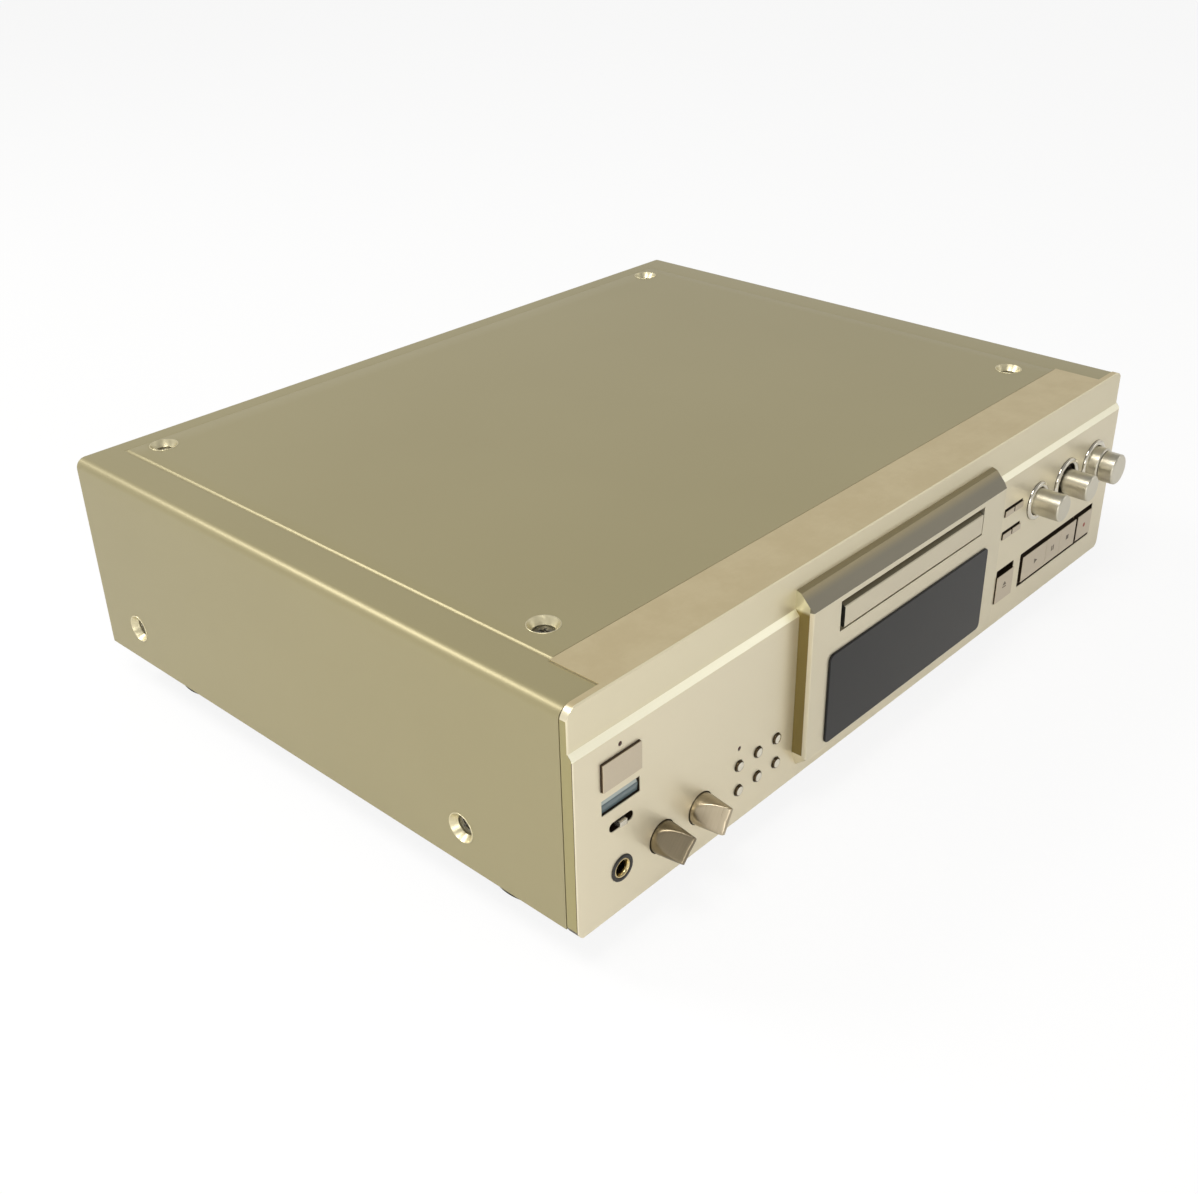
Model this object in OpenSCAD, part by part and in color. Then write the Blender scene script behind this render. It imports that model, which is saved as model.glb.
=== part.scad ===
// Full-width minidisc deck with a motor-driven disc tray.
// Cabinet coordinates: x to the right as seen from the front, y back from the front panel's
// lower face, z up from the panel's bottom edge. at_cabinet() carries them to the row frame,
// whose origin is the middle of the deck's footprint on the surface that it stands on.

/* [Cabinet] */
// Width over the wrap cover
body_w = 430; // [424:1:440]
// Height of the front panel
panel_h = 105.6; // [105:0.2:112]
// Depth from the front panel's lower face to the cover's rear edge
body_d = 328.7; // [320:1:345]
// Height of the cabinet's bottom above the surface that it stands on
stand_h = 17; // [15:1:22]
// Radius of the front panel's corners
corner_r = 6; // [4:0.5:8]
// Thickness of the wrap cover's steel
cover_t = 1.6; // [1.2:0.1:2]
// Outer bend radius of the wrap cover
bend_r = 5; // [3:0.5:6]
// Height of the raised field over the cover's side strips
field_rise = 0.7; // [0.5:0.1:1.2]
// Distance from the cover's side to the raised field
field_inset = 21.5; // [20.8:0.1:24]
// Flat margin behind the raised field
field_margin = 9.5; // [8:0.5:10]
// Thickness of the chassis and rear panel steel
chassis_t = 1.6; // [1.2:0.1:2]
// Height of the cover's side edge above the cabinet's bottom
skirt_z = 3.5; // [2:0.5:8]

/* [Front panel] */
// Thickness of the front panel
panel_t = 5.5; // [5:0.1:6]
// Height of the set-back band along the panel's top
band_h = 21.1; // [20:0.1:22]
// Step between the lower face and the set-back band
band_step = 2.1; // [1.5:0.1:2.5]
// Radius of the panel's front edges at its ends
edge_r = 1; // [0.6:0.1:2.4]
// Depth of the panel's top lip
lip_d = 30.3; // [26:0.5:36]
// Distance from the cover's side to the lip's end
lip_inset = 20.5; // [19:0.5:20.5]
// Thickness of the lip
lip_t = 2.5; // [2:0.1:3]

/* [Centre module] */
// Width of the raised module
module_w = 159; // [156:1:166]
// How far the module stands out of the panel
module_proud = 7; // [6:0.5:9]
// Distance from the panel's top to the module's top
module_drop = 9.7; // [9:0.1:12]
// Height of the module's bottom edge
module_z = 7.5; // [5:0.5:9]
// Width of the tray opening
mouth_w = 118; // [117:0.2:120]
// Height of the tray opening
mouth_h = 14.8; // [14.4:0.1:15.2]
// Distance from the panel's top to the tray opening
mouth_drop = 20.5; // [20:0.1:21.5]
// Width of the display window
window_w = 132; // [126:1:136]
// Height of the display window
window_h = 45.5; // [40:0.5:47]
// Height of the display window's lower edge
window_z = 16; // [15.5:0.1:17]
// How far the window's glass stands out of the module
window_proud = 1; // [0.5:0.1:1.5]

/* [Left controls] */
// Distance from the deck's left side to the line of the power button and phones jack
left_line = 25.3; // [24:0.1:27]
// Width of the power button's opening
power_w = 22; // [18:0.5:23]
// Height of the power button's opening
power_h = 13; // [10:0.5:13.5]
// Middle height of the power button
power_z = 69.5; // [69:0.1:70]
// Height of the remote receiver's window
receiver_h = 7.1; // [5:0.1:8]
// Middle height of the receiver's window
receiver_z = 55.5; // [54:0.1:56]
// Middle height of the timer switch
timer_z = 43.7; // [42:0.1:45]
// Travel of the timer lever each way
timer_travel = 4; // [3:0.1:4.2]
// Middle height of the phones jack
jack_z = 21.2; // [19:0.1:23]
// Radius of the phones jack's bore
jack_bore_r = 3.2; // [3.15:0.01:3.4]
// Radius of the blade knobs at their base
knob_r = 7.1; // [6.5:0.1:7.5]
// Length of the blade knobs out of the panel
knob_l = 14; // [12:0.5:18]
// Distance from the deck's left side to the first blade knob
knob_x = 49; // [47:0.5:50]
// Spacing of the blade knobs
knob_pitch = 23.9; // [22:0.1:26]
// Turn of the phones level knob at rest
level_rest = 43; // [0:1:60]
// Turn of the input knob at rest
input_rest = 27; // [0:1:30]
// Radius of the round buttons
round_r = 2.5; // [2:0.1:3]
// Column spacing of the round buttons
round_pitch = 12.95; // [11:0.05:13.5]
// Row spacing of the round buttons
round_rows = 12.6; // [11:0.1:14]

/* [Right controls] */
// Distance from the deck's right side to the third dial
dial_x = 24; // [22:0.5:25]
// Spacing of the dials
dial_pitch = 31; // [30:0.5:32]
// Middle height of the dials
dial_z = 60.5; // [58:0.5:61.5]
// Length of the dials out of the panel
dial_l = 15.2; // [13:0.2:18]
// Length of the twin dial out of the panel
twin_l = 15; // [14:0.2:18]
// Radius of the first dial
dial_r1 = 7.1; // [6.5:0.1:7.4]
// Radius of the second dial
dial_r2 = 7; // [6.5:0.1:8]
// Radius of the twin dial's front part
twin_front_r = 8.3; // [7.5:0.1:8.8]
// Radius of the twin dial's rear part
twin_rear_r = 9.4; // [9:0.1:9.5]
// Length of the twin dial's rear part out of the panel
twin_rear_l = 6.8; // [5:0.2:8]
// Width of the transport recess
transport_w = 81; // [79:0.5:83]
// Height of the transport recess
transport_h = 19.5; // [18:0.5:21]
// Height of the lower row of keys
keys_z = 13.6; // [12:0.2:15]
// Width of the eject key
eject_w = 17.3; // [15:0.1:18]
// Travel of the keys and buttons
key_travel = 1; // [0.6:0.1:1.2]
// Clearance of the keys and buttons in their openings
key_gap = 0.3; // [0.2:0.05:0.4]

/* [Loading mechanism] */
// Travel of the disc tray
tray_travel = 86; // [82:1:90]
// Width of a minidisc cartridge
cart_w = 72; // [71.5:0.1:72.5]
// Depth of a minidisc cartridge
cart_d = 68; // [67.5:0.1:68.5]
// Thickness of a minidisc cartridge
cart_t = 5; // [4.8:0.1:5.2]
// Module of the rack and its pinion
rack_m = 1; // [1:0.05:1.05]
// Teeth of the rack's pinion
pinion_teeth = 20; // [18:1:22]
// Module of the motor's gears
motor_m = 0.8; // [0.75:0.01:0.85]
// Teeth of the large loading gear
wheel_teeth = 40; // [36:1:42]
// Teeth of the motor gear
motor_teeth = 12; // [12:1:14]
// Lift of the pickup unit
pickup_lift = 2.5; // [2:0.1:2.6]
// Travel of the laser sled
sled_travel = 13; // [10:0.5:13.2]

/* [Fit and fasteners] */
// Gap between pieces that seat on each other
seat = 0.3; // [0.2:0.05:0.35]
// Radial clearance of a shaft in its bearing
run = 0.05; // [0.02:0.01:0.08]
// Radius of the cover bolts' cups
cup_r = 7; // [6:0.1:7.5]
// Radius of the cover bolts' heads
bolt_head_r = 4.25; // [3.8:0.05:4.4]
// Radius of the cover bolts' threads
bolt_r = 2; // [1.8:0.1:2.2]
// Radius of the feet
foot_r = 27; // [22:1:30]
// Distance from the deck's side to the middle of a foot
foot_inset = 41; // [36:0.5:46]

/* [Hidden] */
$fn = 48;

// The lengths across the front and rear are drawn for a deck 430 wide and keep their share of its width
function across(length) = length * body_w / 430;

half_w = body_w / 2;
rear_inset = 2.4;
jack_proud = 8.2;
rear_y = body_d - rear_inset;
deck_front = -max(dial_l, twin_l);
deck_rear = rear_y + jack_proud;
row_y = -(deck_front + deck_rear) / 2;

// Front panel
ledge_z = panel_h - band_h;
ledge_rise = 2.5;
seam = 0.5;

// Keys: a cap in the opening, a flange behind the panel and a stem that reaches the switch
flange_t = 0.8;
stem_gap = 0.05;
stem_y = panel_t + seat + flange_t + 0.25;
plunger_y = stem_y + key_travel + stem_gap;
switch_y = plunger_y + 0.8;
board_y = switch_y + 3.3;
board_t = 1.6;

// Left controls
left_x = -half_w + across(left_line);
level_x = -half_w + across(knob_x);
input_x = level_x + across(knob_pitch);
knob_z = 22;
round_x = -half_w + across(97.7);
round_z = 16.8;
mode_led_z = 38.1;
power_led_z = 79.6;
led_r = 1;
power_span = across(power_w);
receiver_w = across(21.4);
slot_w = 13.5;
slot_h = 4.4;
lever_w = 4;
jack_r = 5.9;
shaft_r = 3;
knob_recess = 0.8;

// Right controls
twin_x = half_w - across(dial_x);
dial2_x = twin_x - across(dial_pitch);
dial1_x = dial2_x - across(dial_pitch);
ring_w = 3.1;
ring_r1 = dial_r1 + 0.2 + ring_w;
ring_r2 = 12.7;
small_x = half_w - across(120.6);
small_w = across(18.3);
small_h = 4.7;
small_z = [63.4, 50.7];
transport_x0 = half_w - across(96);
transport_span = across(transport_w);
play_w = across(26);
pause_w = across(15.7);
stop_w = across(17.3);
record_w = across(16.3);
bar_w = across(2.4);
eject_x0 = half_w - across(120.5);
eject_span = across(eject_w);
eject_h = 19.4;
eject_recess = 3.4;

// Centre module
module_half = across(module_w) / 2;
module_top = panel_h - module_drop;
mouth_z = panel_h - mouth_drop - mouth_h;
slant_z = 7.9;
slant_y = 0.5;
frame_z0 = module_z + 4;
frame_z1 = module_top - 3;

// Tray, in its closed place
tray_z = mouth_z + 1.3;
floor_t = 2.4;
slab_h = floor_t + cart_t + 1;
slab_half = 46;
arm_h = 3.1;
arm_half = 53;
tray_y0 = -2;
well_y0 = 6;
well_gap = 0.8;
well_y1 = well_y0 + cart_d + 2 * well_gap;
slab_y1 = well_y1 + 6.4;
gear_y = 34;
arm_y1 = gear_y + tray_travel + 6;
hub_y = well_y0 + well_gap + cart_d / 2;
slot_x0 = -18;
slot_x1 = 44;

// Rack and gears
pinion_r = rack_m * pinion_teeth / 2;
wheel_r = motor_m * wheel_teeth / 2;
motor_gear_r = motor_m * motor_teeth / 2;
rack_line = -arm_half + 0.5;
gear_x = rack_line - pinion_r - 0.05;
motor_y = gear_y + wheel_r + motor_gear_r + 0.08;
pinion_z = tray_z + 0.6;
wheel_t = 4;
wheel_z = tray_z - 2.2 - wheel_t;

// Loader frame and pickup unit
deck_z = tray_z - 14.6;
deck_t = 2.5;
wall_x = arm_half + seat;
wall_t = 4.7;
frame_y1 = arm_y1 + 8;
frame_y0 = board_y + board_t + 3;
rod_z = tray_z - 7.6;
rod_r = 1.5;
front_rod_y = hub_y - 15;
rear_rod_y = hub_y + 15;
screw_y = rear_rod_y + 6;
sled_x0 = 13;
sled_x1 = 31;
rail_wall = 3;
rail_x0 = -22;
rail_x1 = sled_x1 + sled_travel + 1 + rail_wall;
pickup_x0 = -36;
pickup_x1 = rail_x1 + 2;
pickup_y0 = front_rod_y - 3;
pickup_y1 = screw_y + 10;
arm_pivot_y = slab_y1 + 6;
arm_pivot_z = tray_z + slab_h + 3.2;
platter_z = tray_z - 2.7 - pickup_lift;

// Fasteners
top_bolts = [for (x = [-1, 1], y = [49.5, body_d - 18.7]) [x * (half_w - 37), y]];
side_bolt_y = [63.8, body_d - 29.2];
side_bolt_z = 22;
cup_depth = 4.8;
head_h = 1.9;
post_r = 5;
posts = [[-72, frame_y0 + 6], [63.5, frame_y0 + 6], [-72, frame_y1 - 8], [63.5, frame_y1 - 8]];
foot_x = half_w - foot_inset;
foot_y = [54, body_d - 42];
thread_gap = 0.05;

// Values that join the pieces above
flange_lap = 1.2;
stem_r = 1.2;
shaft_end = board_y - 0.8;
inner_shaft_r = 1.4;
ring_seat = ring_w / 2 + run;
twin_split = -twin_rear_l;
cover_y0 = panel_t + seam;
cover_top = panel_h - field_rise;
field_x = half_w - field_inset;
field_slope = 1.3;
cup_rim = 0.25;
cup_h = cup_depth + 0.6;
bolt_l = cup_h + 6;
brace_top = panel_h - cup_h;
rear_top = cover_top - cover_t - seat;
chassis_x = half_w - cup_h;
brace_x = chassis_x - chassis_t;
sleeve_half = module_half - 4.5;
glass_back = -module_proud + 2.4;
front_y = module_proud + 0.8;
round_places = [for (z = [round_z + round_rows, round_z], k = [0:2]) [round_x + k * across(round_pitch), z]];
dials = [[dial1_x, ring_r1, ring_r1 - ring_w + 0.4], [dial2_x, ring_r2, dial_r2 + 0.6],
         [twin_x, ring_r2, ring_r2 - ring_w + 0.4]];
board_half = half_w - 8;
board_bosses = [[-half_w + 12, 9], [half_w - 12, 9], [-across(125), 70], [across(103), 80],
                [-across(95), 9], [across(95), 9]];
board_level = 8;
board_posts = [[-30, frame_y1 + 20], [chassis_x - 24, frame_y1 + 20], [-30, rear_y - 30],
               [chassis_x - 24, rear_y - 30], [-chassis_x + 20, frame_y1 + 20], [-60, frame_y1 + 20]];
play_x0 = transport_x0 + across(2.3);
pause_x0 = play_x0 + play_w;
stop_x0 = pause_x0 + pause_w;
stop_x1 = stop_x0 + stop_w;
record_x0 = stop_x1 + bar_w;
record_x1 = record_x0 + record_w;
key_z0 = keys_z + 2.3;
key_z1 = keys_z + transport_h - 2.6;
eject_key_h = eject_h - eject_recess;
jack_y1 = 36;
phono_r = 4.15;
phono_x = across(60);
phono_z = 30;
coax_x = across(170);
optical_x = [for (k = [0:2]) across(110) + 20 * k];
optical_z = 40;
phono_places = [[phono_x, phono_z], [phono_x + 20, phono_z], [phono_x, phono_z + 20],
                [phono_x + 20, phono_z + 20], [coax_x, optical_z]];
inlet_x = -half_w + across(40);
inlet_z = 40;
motor_z1 = deck_z;
motor_x0 = rail_x0 - 12;
main_x0 = -38;
main_y0 = frame_y1 + 10;
power_x0 = -chassis_x + 12;
power_x1 = main_x0 - 12.2;
power_d = 62;
fin_h = 40;
fin_d = 30;
cap_r = 11;
core = [66, 44, 56];
coil = [44, 68, 34];
transformer_x = -half_w + across(95);
base_z0 = deck_z + 1;
base_z1 = base_z0 + 3;
screw_r = 1.5;
frame_x0 = gear_x - 21.5;
frame_x1 = wall_x + wall_t + 12;

champagne = [0.78, 0.73, 0.60];
olive = [0.62, 0.58, 0.46];
polished = [0.88, 0.87, 0.84];
key_grey = [0.74, 0.69, 0.62];
dark = [0.16, 0.14, 0.12];
steel = [0.66, 0.67, 0.66];
board_green = [0.10, 0.33, 0.20];

// ---------- shared shapes ----------

module at_cabinet() translate([0, row_y, stand_h]) children();

module block(low, high) translate(low) cube(high - low);

module rod_x(r, x0, x1) translate([x0, 0, 0]) rotate([0, 90, 0]) cylinder(r = r, h = x1 - x0);

module rod_y(r, y0, y1) translate([0, y0, 0]) rotate([-90, 0, 0]) cylinder(r = r, h = y1 - y0);

module cone_y(r0, r1, y0, y1) translate([0, y0, 0]) rotate([-90, 0, 0])
    cylinder(r1 = r0, r2 = r1, h = y1 - y0);

// A 2D outline in x and z, given its thickness along y
module slab_y(y0, y1) translate([0, y1, 0]) rotate([90, 0, 0]) linear_extrude(y1 - y0) children();

// A 2D outline in y and z, given its thickness along x
module slab_x(x0, x1) translate([x0, 0, 0]) rotate([90, 0, 90]) linear_extrude(x1 - x0) children();

module rounded(w, h, r) {
    square([w - 2 * r, h], center = true);
    square([w, h - 2 * r], center = true);
    for (x = [-1, 1], z = [-1, 1]) translate([x * (w / 2 - r), z * (h / 2 - r)]) circle(r = r);
}

// A rounded opening or plate with its middle at x, z
module rounded_plate(x, z, w, h, r, y0, y1) translate([x, 0, z]) slab_y(y0, y1) rounded(w, h, r);

// One flank point of an involute tooth: base radius rb, radius r, half the tooth's angle at rb
function involute_angle(rb, r) = sqrt(max(0, r * r / (rb * rb) - 1)) * 180 / PI
    - acos(min(1, rb / r));

function flank(rb, rs, half_angle, side) =
    [for (r = rs) let (a = side * (half_angle - involute_angle(rb, r))) [r * cos(a), r * sin(a)]];

// Spur gear outline with involute flanks of 20 degrees, first tooth along +x
module gear_outline(m, teeth, backlash) {
    pitch_r = m * teeth / 2;
    rb = pitch_r * cos(20);
    root_r = pitch_r - 1.25 * m;
    tip_r = pitch_r + m;
    low_r = max(rb, root_r);
    half_angle = (PI * m / 2 - backlash) / (2 * pitch_r) * 180 / PI + involute_angle(rb, pitch_r);
    rs = [for (i = [0:4]) low_r + (tip_r - low_r) * i / 4];
    union() {
        circle(r = root_r);
        for (k = [0:teeth - 1]) rotate(k * 360 / teeth)
            polygon(concat([[root_r * 0.9, -root_r * sin(half_angle)]], flank(rb, rs, half_angle, -1),
                           flank(rb, [for (i = [4:-1:0]) rs[i]], half_angle, 1),
                           [[root_r * 0.9, root_r * sin(half_angle)]]));
    }
}

// A rectangular key: cap in its opening, flange behind the panel, stem toward its switch
module key_body(x0, x1, z0, z1, proud) {
    block([x0, -proud, z0], [x1, panel_t + seat + flange_t, z1]);
    block([x0, panel_t + seat, z0 - flange_lap], [x1, panel_t + seat + flange_t, z1 + flange_lap]);
    translate([(x0 + x1) / 2, 0, (z0 + z1) / 2]) rod_y(stem_r, panel_t + seat, stem_y);
}

// A key that fills an opening from x0 to x1 and z0 to z1, less its clearance
module key_in(x0, x1, z0, z1, proud)
    key_body(x0 + key_gap, x1 - key_gap, z0 + key_gap, z1 - key_gap, proud);

// ---------- cabinet ----------

module end_rounding(y0, z0, z1) translate([0, 0, z0]) linear_extrude(z1 - z0) {
    translate([-half_w + edge_r, y0]) square([body_w - 2 * edge_r, panel_t - y0]);
    translate([-half_w, y0 + edge_r]) square([body_w, panel_t - y0 - edge_r]);
    for (s = [-1, 1]) translate([s * (half_w - edge_r), y0 + edge_r]) circle(r = edge_r);
}

module panel_plate() intersection() {
    slab_y(0, panel_t) translate([0, panel_h / 2]) rounded(body_w, panel_h, corner_r);
    slab_x(-half_w, half_w) polygon([[0.8, 0], [0, 0.8], [0, ledge_z], [band_step, ledge_z + ledge_rise],
        [band_step, panel_h - 0.5], [band_step + 0.5, panel_h], [panel_t, panel_h], [panel_t, 0]]);
    union() {
        end_rounding(0, 0, ledge_z + ledge_rise);
        end_rounding(band_step, ledge_z + ledge_rise, panel_h);
    }
}

module opening(x, z, w, h, r) rounded_plate(x, z, w, h, r, -1, panel_t + 1);

module opening_from(x0, z0, w, h, r) opening(x0 + w / 2, z0 + h / 2, w, h, r);

module panel_openings() {
    opening(left_x, power_z, power_span, power_h, 0.6);
    opening(left_x, receiver_z, receiver_w, receiver_h, run);
    opening(left_x, timer_z, slot_w, slot_h, slot_h / 2 - 0.05);
    translate([left_x, 0, jack_z]) rod_y(jack_r + run, -1, panel_t + 1);
    translate([left_x, 0, power_led_z]) rod_y(led_r + run, -1, panel_t + 1);
    translate([round_x, 0, mode_led_z]) rod_y(led_r + run, -1, panel_t + 1);
    for (x = [level_x, input_x]) translate([x, 0, knob_z]) {
        rod_y(knob_r + 0.5, -1, knob_recess + seat);
        rod_y(shaft_r + 0.4, -1, panel_t + 1);
    }
    for (p = round_places) translate([p[0], 0, p[1]]) rod_y(round_r + key_gap, -1, panel_t + 1);
    for (z = small_z) opening_from(small_x, z, small_w, small_h, 0.4);
    opening_from(eject_x0, keys_z, eject_span, eject_h, 0.4);
    opening_from(transport_x0, keys_z, transport_span, transport_h, 0.8);
    for (d = dials) translate([d[0], 0, dial_z]) {
        rod_y(d[1] + run, -1, ring_seat);
        rod_y(d[2], -1, panel_t + 1);
    }
    block([-sleeve_half, -1, frame_z0], [sleeve_half, panel_t + 1, frame_z1]);
}

module front_panel() color(champagne) at_cabinet() difference() {
    union() {
        panel_plate();
        block([-half_w + lip_inset, panel_t - 1, panel_h - lip_t], [half_w - lip_inset, lip_d, panel_h]);
        for (p = board_bosses) translate([p[0], 0, p[1]]) rod_y(3, panel_t - 1, board_y);
    }
    panel_openings();
}

module centre_bezel() color(champagne) at_cabinet() {
    half = module_half;
    difference() {
        union() {
            intersection() {
                slab_x(-half, half) polygon([[0, module_z], [-module_proud, module_z + 6.5],
                    [-module_proud, module_top - slant_z], [-slant_y, module_top - 0.8],
                    [band_step, module_top], [band_step, ledge_z + ledge_rise], [0, ledge_z]]);
                slab_y(-module_proud, panel_t) polygon([[-half, module_z + 8.5], [-half + 3.3, module_z],
                    [half - 3.3, module_z], [half, module_z + 8.5], [half, module_top], [-half, module_top]]);
                translate([0, 0, module_z]) linear_extrude(module_top - module_z) polygon([
                    [-half, panel_t], [-half, 1.9 - module_proud], [-half + 0.8, -module_proud],
                    [half - 0.8, -module_proud], [half, 1.9 - module_proud], [half, panel_t]]);
            }
            block([-sleeve_half + seat, -1, frame_z0 + seat], [sleeve_half - seat, panel_t, frame_z1 - seat]);
        }
        block([-mouth_w / 2, -module_proud - 1, mouth_z], [mouth_w / 2, panel_t + 1, mouth_z + mouth_h]);
        rounded_plate(0, window_z + window_h / 2, window_w, window_h, 3, -module_proud - 1, glass_back + run);
        rounded_plate(0, window_z + window_h / 2, window_w - 4, window_h - 4, 2, -module_proud, panel_t + 1);
    }
}

module display_window() color([0.12, 0.12, 0.13]) at_cabinet()
    rounded_plate(0, window_z + window_h / 2, window_w - 2 * run, window_h - 2 * run, 3 - run,
                  -module_proud - window_proud, glass_back);

module cover_outline(half, top, r) {
    translate([-half, skirt_z]) square([2 * half, top - r - skirt_z]);
    translate([-half + r, skirt_z]) square([2 * half - 2 * r, top - skirt_z]);
    for (s = [-1, 1]) translate([s * (half - r), top - r]) circle(r = r);
}

module wrap_cover() color(olive) at_cabinet() difference() {
    union() {
        slab_y(cover_y0, body_d) cover_outline(half_w, cover_top, bend_r);
        hull() {
            block([-field_x, lip_d + seat, cover_top - 1], [field_x, body_d - field_margin, cover_top]);
            block([-field_x + field_slope, lip_d + seat, cover_top - 1],
                  [field_x - field_slope, body_d - field_margin - field_slope, panel_h]);
        }
    }
    slab_y(cover_y0 - 1, body_d + 1) translate([0, -1])
        cover_outline(half_w - cover_t, cover_top - cover_t + 1, bend_r - cover_t);
    block([-field_x + field_slope + 1, lip_d, cover_top - cover_t - 1],
          [field_x - field_slope - 1, body_d - field_margin - field_slope - 1, panel_h - cover_t]);
    block([-half_w + lip_inset - seam, cover_y0 - 1, cover_top - 9],
          [half_w - lip_inset + seam, lip_d + seat, panel_h + 2]);
    for_each_cup() cylinder(r = cup_r + run, h = 20, center = true);
}

// Stands each child at a bolt's place, with +z out of the cover and z = 0 at its surface
module for_each_cup() {
    for (p = top_bolts) translate([p[0], p[1], panel_h]) children();
    for (s = [-1, 1], y = side_bolt_y) translate([s * half_w, y, side_bolt_z]) rotate([0, s * 90, 0]) children();
}

module bolt_cups() color(polished) at_cabinet() for_each_cup() difference() {
    translate([0, 0, -cup_h]) cylinder(r = cup_r, h = cup_h + cup_rim);
    translate([0, 0, -cup_depth]) cylinder(r = bolt_head_r + 0.5, h = cup_depth + 1);
    translate([0, 0, -cup_depth + head_h])
        cylinder(r1 = bolt_head_r + 0.5, r2 = cup_r - 0.4, h = cup_depth - head_h + cup_rim + 0.01);
    cylinder(r = bolt_r + run, h = 30, center = true);
}

module cover_bolts() color(polished) at_cabinet() for_each_cup() difference() {
    union() {
        translate([0, 0, -cup_depth]) cylinder(r = bolt_head_r, h = head_h - 0.6);
        translate([0, 0, head_h - 0.6 - cup_depth]) cylinder(r1 = bolt_head_r, r2 = bolt_head_r - 0.8, h = 0.6);
        translate([0, 0, -bolt_l]) cylinder(r = bolt_r, h = bolt_l - cup_depth + 1);
    }
    for (turn = [0, 90]) rotate(turn) translate([0, 0, 2.5 - cup_depth])
        cube([5.2, 1.2, 3], center = true);
}

module cover_brace() color(steel) at_cabinet() difference() {
    union() {
        block([-brace_x, top_bolts[0][1] - 8, brace_top - 7], [brace_x, top_bolts[0][1] + 8, brace_top]);
        for (s = [-1, 1]) translate([s * (brace_x - 3), 0, 0])
            block([-3, top_bolts[0][1] - 8, chassis_t], [3, top_bolts[0][1] + 8, brace_top - 1]);
    }
    block([-brace_x + 7, top_bolts[0][1] - 8 + chassis_t, brace_top - 8],
          [brace_x - 7, top_bolts[0][1] + 8 - chassis_t, brace_top - chassis_t]);
    for_each_cup() cylinder(r = bolt_r + thread_gap, h = 2 * bolt_l + 2, center = true);
}

module bottom_chassis() color(steel) at_cabinet() difference() {
    union() {
        block([-chassis_x, panel_t, 0], [chassis_x, rear_y - chassis_t, chassis_t]);
        for (s = [-1, 1]) translate([s * (chassis_x - chassis_t / 2), 0, 0])
            block([-chassis_t / 2, panel_t, 0], [chassis_t / 2, rear_y - chassis_t, 40]);
        block([-chassis_x, panel_t, 0], [chassis_x, panel_t + chassis_t, 4.5]);
        for (p = board_posts) translate([p[0], p[1], 0]) cylinder(r = 3, h = board_level);
    }
    for_each_cup() cylinder(r = bolt_r + thread_gap, h = 2 * bolt_l + 2, center = true);
    for (x = [-foot_x, foot_x], y = foot_y) translate([x, y, -1]) cylinder(r = bolt_r + thread_gap, h = 9);
    for (p = posts) translate([p[0], p[1], -1]) cylinder(r = bolt_r + thread_gap, h = 9);
}

module rear_panel() color(steel) at_cabinet() difference() {
    union() {
        slab_y(rear_y - chassis_t, rear_y) translate([0, rear_top / 2])
            rounded(2 * (half_w - cover_t - seat), rear_top, 3);
        block([-brace_x + 12, rear_y - chassis_t - 28, brace_top - chassis_t],
              [brace_x - 12, rear_y - chassis_t + 0.5, brace_top]);
    }
    for_each_cup() cylinder(r = bolt_r + thread_gap, h = 2 * bolt_l + 2, center = true);
    for (p = phono_places) translate([p[0], 0, p[1]]) rod_y(phono_r + run, rear_y - 5, rear_y + 1);
    for (x = optical_x) block([x - 5, rear_y - 5, optical_z - 5], [x + 5, rear_y + 1, optical_z + 5]);
    block([inlet_x - 12, rear_y - 5, inlet_z - 9], [inlet_x + 12, rear_y + 1, inlet_z + 9]);
}

module feet() color([0.2, 0.19, 0.17]) at_cabinet() for (x = [-foot_x, foot_x], y = foot_y)
    translate([x, y, -stand_h]) difference() {
        union() {
            cylinder(r = foot_r - 1, h = stand_h);
            translate([0, 0, 1]) cylinder(r = foot_r, h = stand_h - 3);
        }
        translate([0, 0, -1]) cylinder(r = foot_r - 7, h = 2);
        translate([0, 0, -1]) cylinder(r = 5.5, h = stand_h - 5);
        cylinder(r = bolt_r + run, h = 2 * stand_h, center = true);
    }

// Pan-head screw with its head's top face at z = 0 and its thread upward
module bottom_screw(length) difference() {
    union() {
        translate([0, 0, -2.4]) cylinder(r = 3.8, h = 2.4);
        cylinder(r = bolt_r, h = length);
    }
    translate([0, 0, -3]) cylinder(r = 1.6, h = 1.8, $fn = 6);
}

module bottom_screws() color(steel) at_cabinet() {
    for (x = [-foot_x, foot_x], y = foot_y) translate([x, y, -6]) bottom_screw(6 + chassis_t + 2);
    for (p = posts) translate([p[0], p[1], 0]) bottom_screw(chassis_t + 6);
}

// ---------- front panel fittings ----------

module led_lenses() color([0.45, 0.2, 0.15]) at_cabinet()
    for (p = [[left_x, power_led_z], [round_x, mode_led_z]]) translate([p[0], 0, p[1]]) {
        rod_y(led_r, -0.2, board_y - seat);
        rod_y(led_r + 0.9, panel_t + seat, board_y - seat);
    }

module receiver_window() color([0.42, 0.47, 0.5]) at_cabinet() {
    half = receiver_w / 2 - run;
    high = receiver_h / 2 - run;
    translate([left_x, 0, receiver_z]) slab_x(-half, half)
        polygon([[1.2, -high], [0.9, 0], [3, high], [panel_t + 2, high], [panel_t + 2, -high]]);
}

module timer_switch() color(dark) at_cabinet() translate([left_x, 0, timer_z]) difference() {
    block([-slot_w / 2 - 2, panel_t + seat, -slot_h / 2 - 1.6], [slot_w / 2 + 2, board_y, slot_h / 2 + 1.6]);
    block([-timer_travel - lever_w / 2 - 0.4, panel_t, -1.3 - seat],
          [timer_travel + lever_w / 2 + 0.4, board_y - 1.5, 1.3 + seat]);
}

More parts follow.
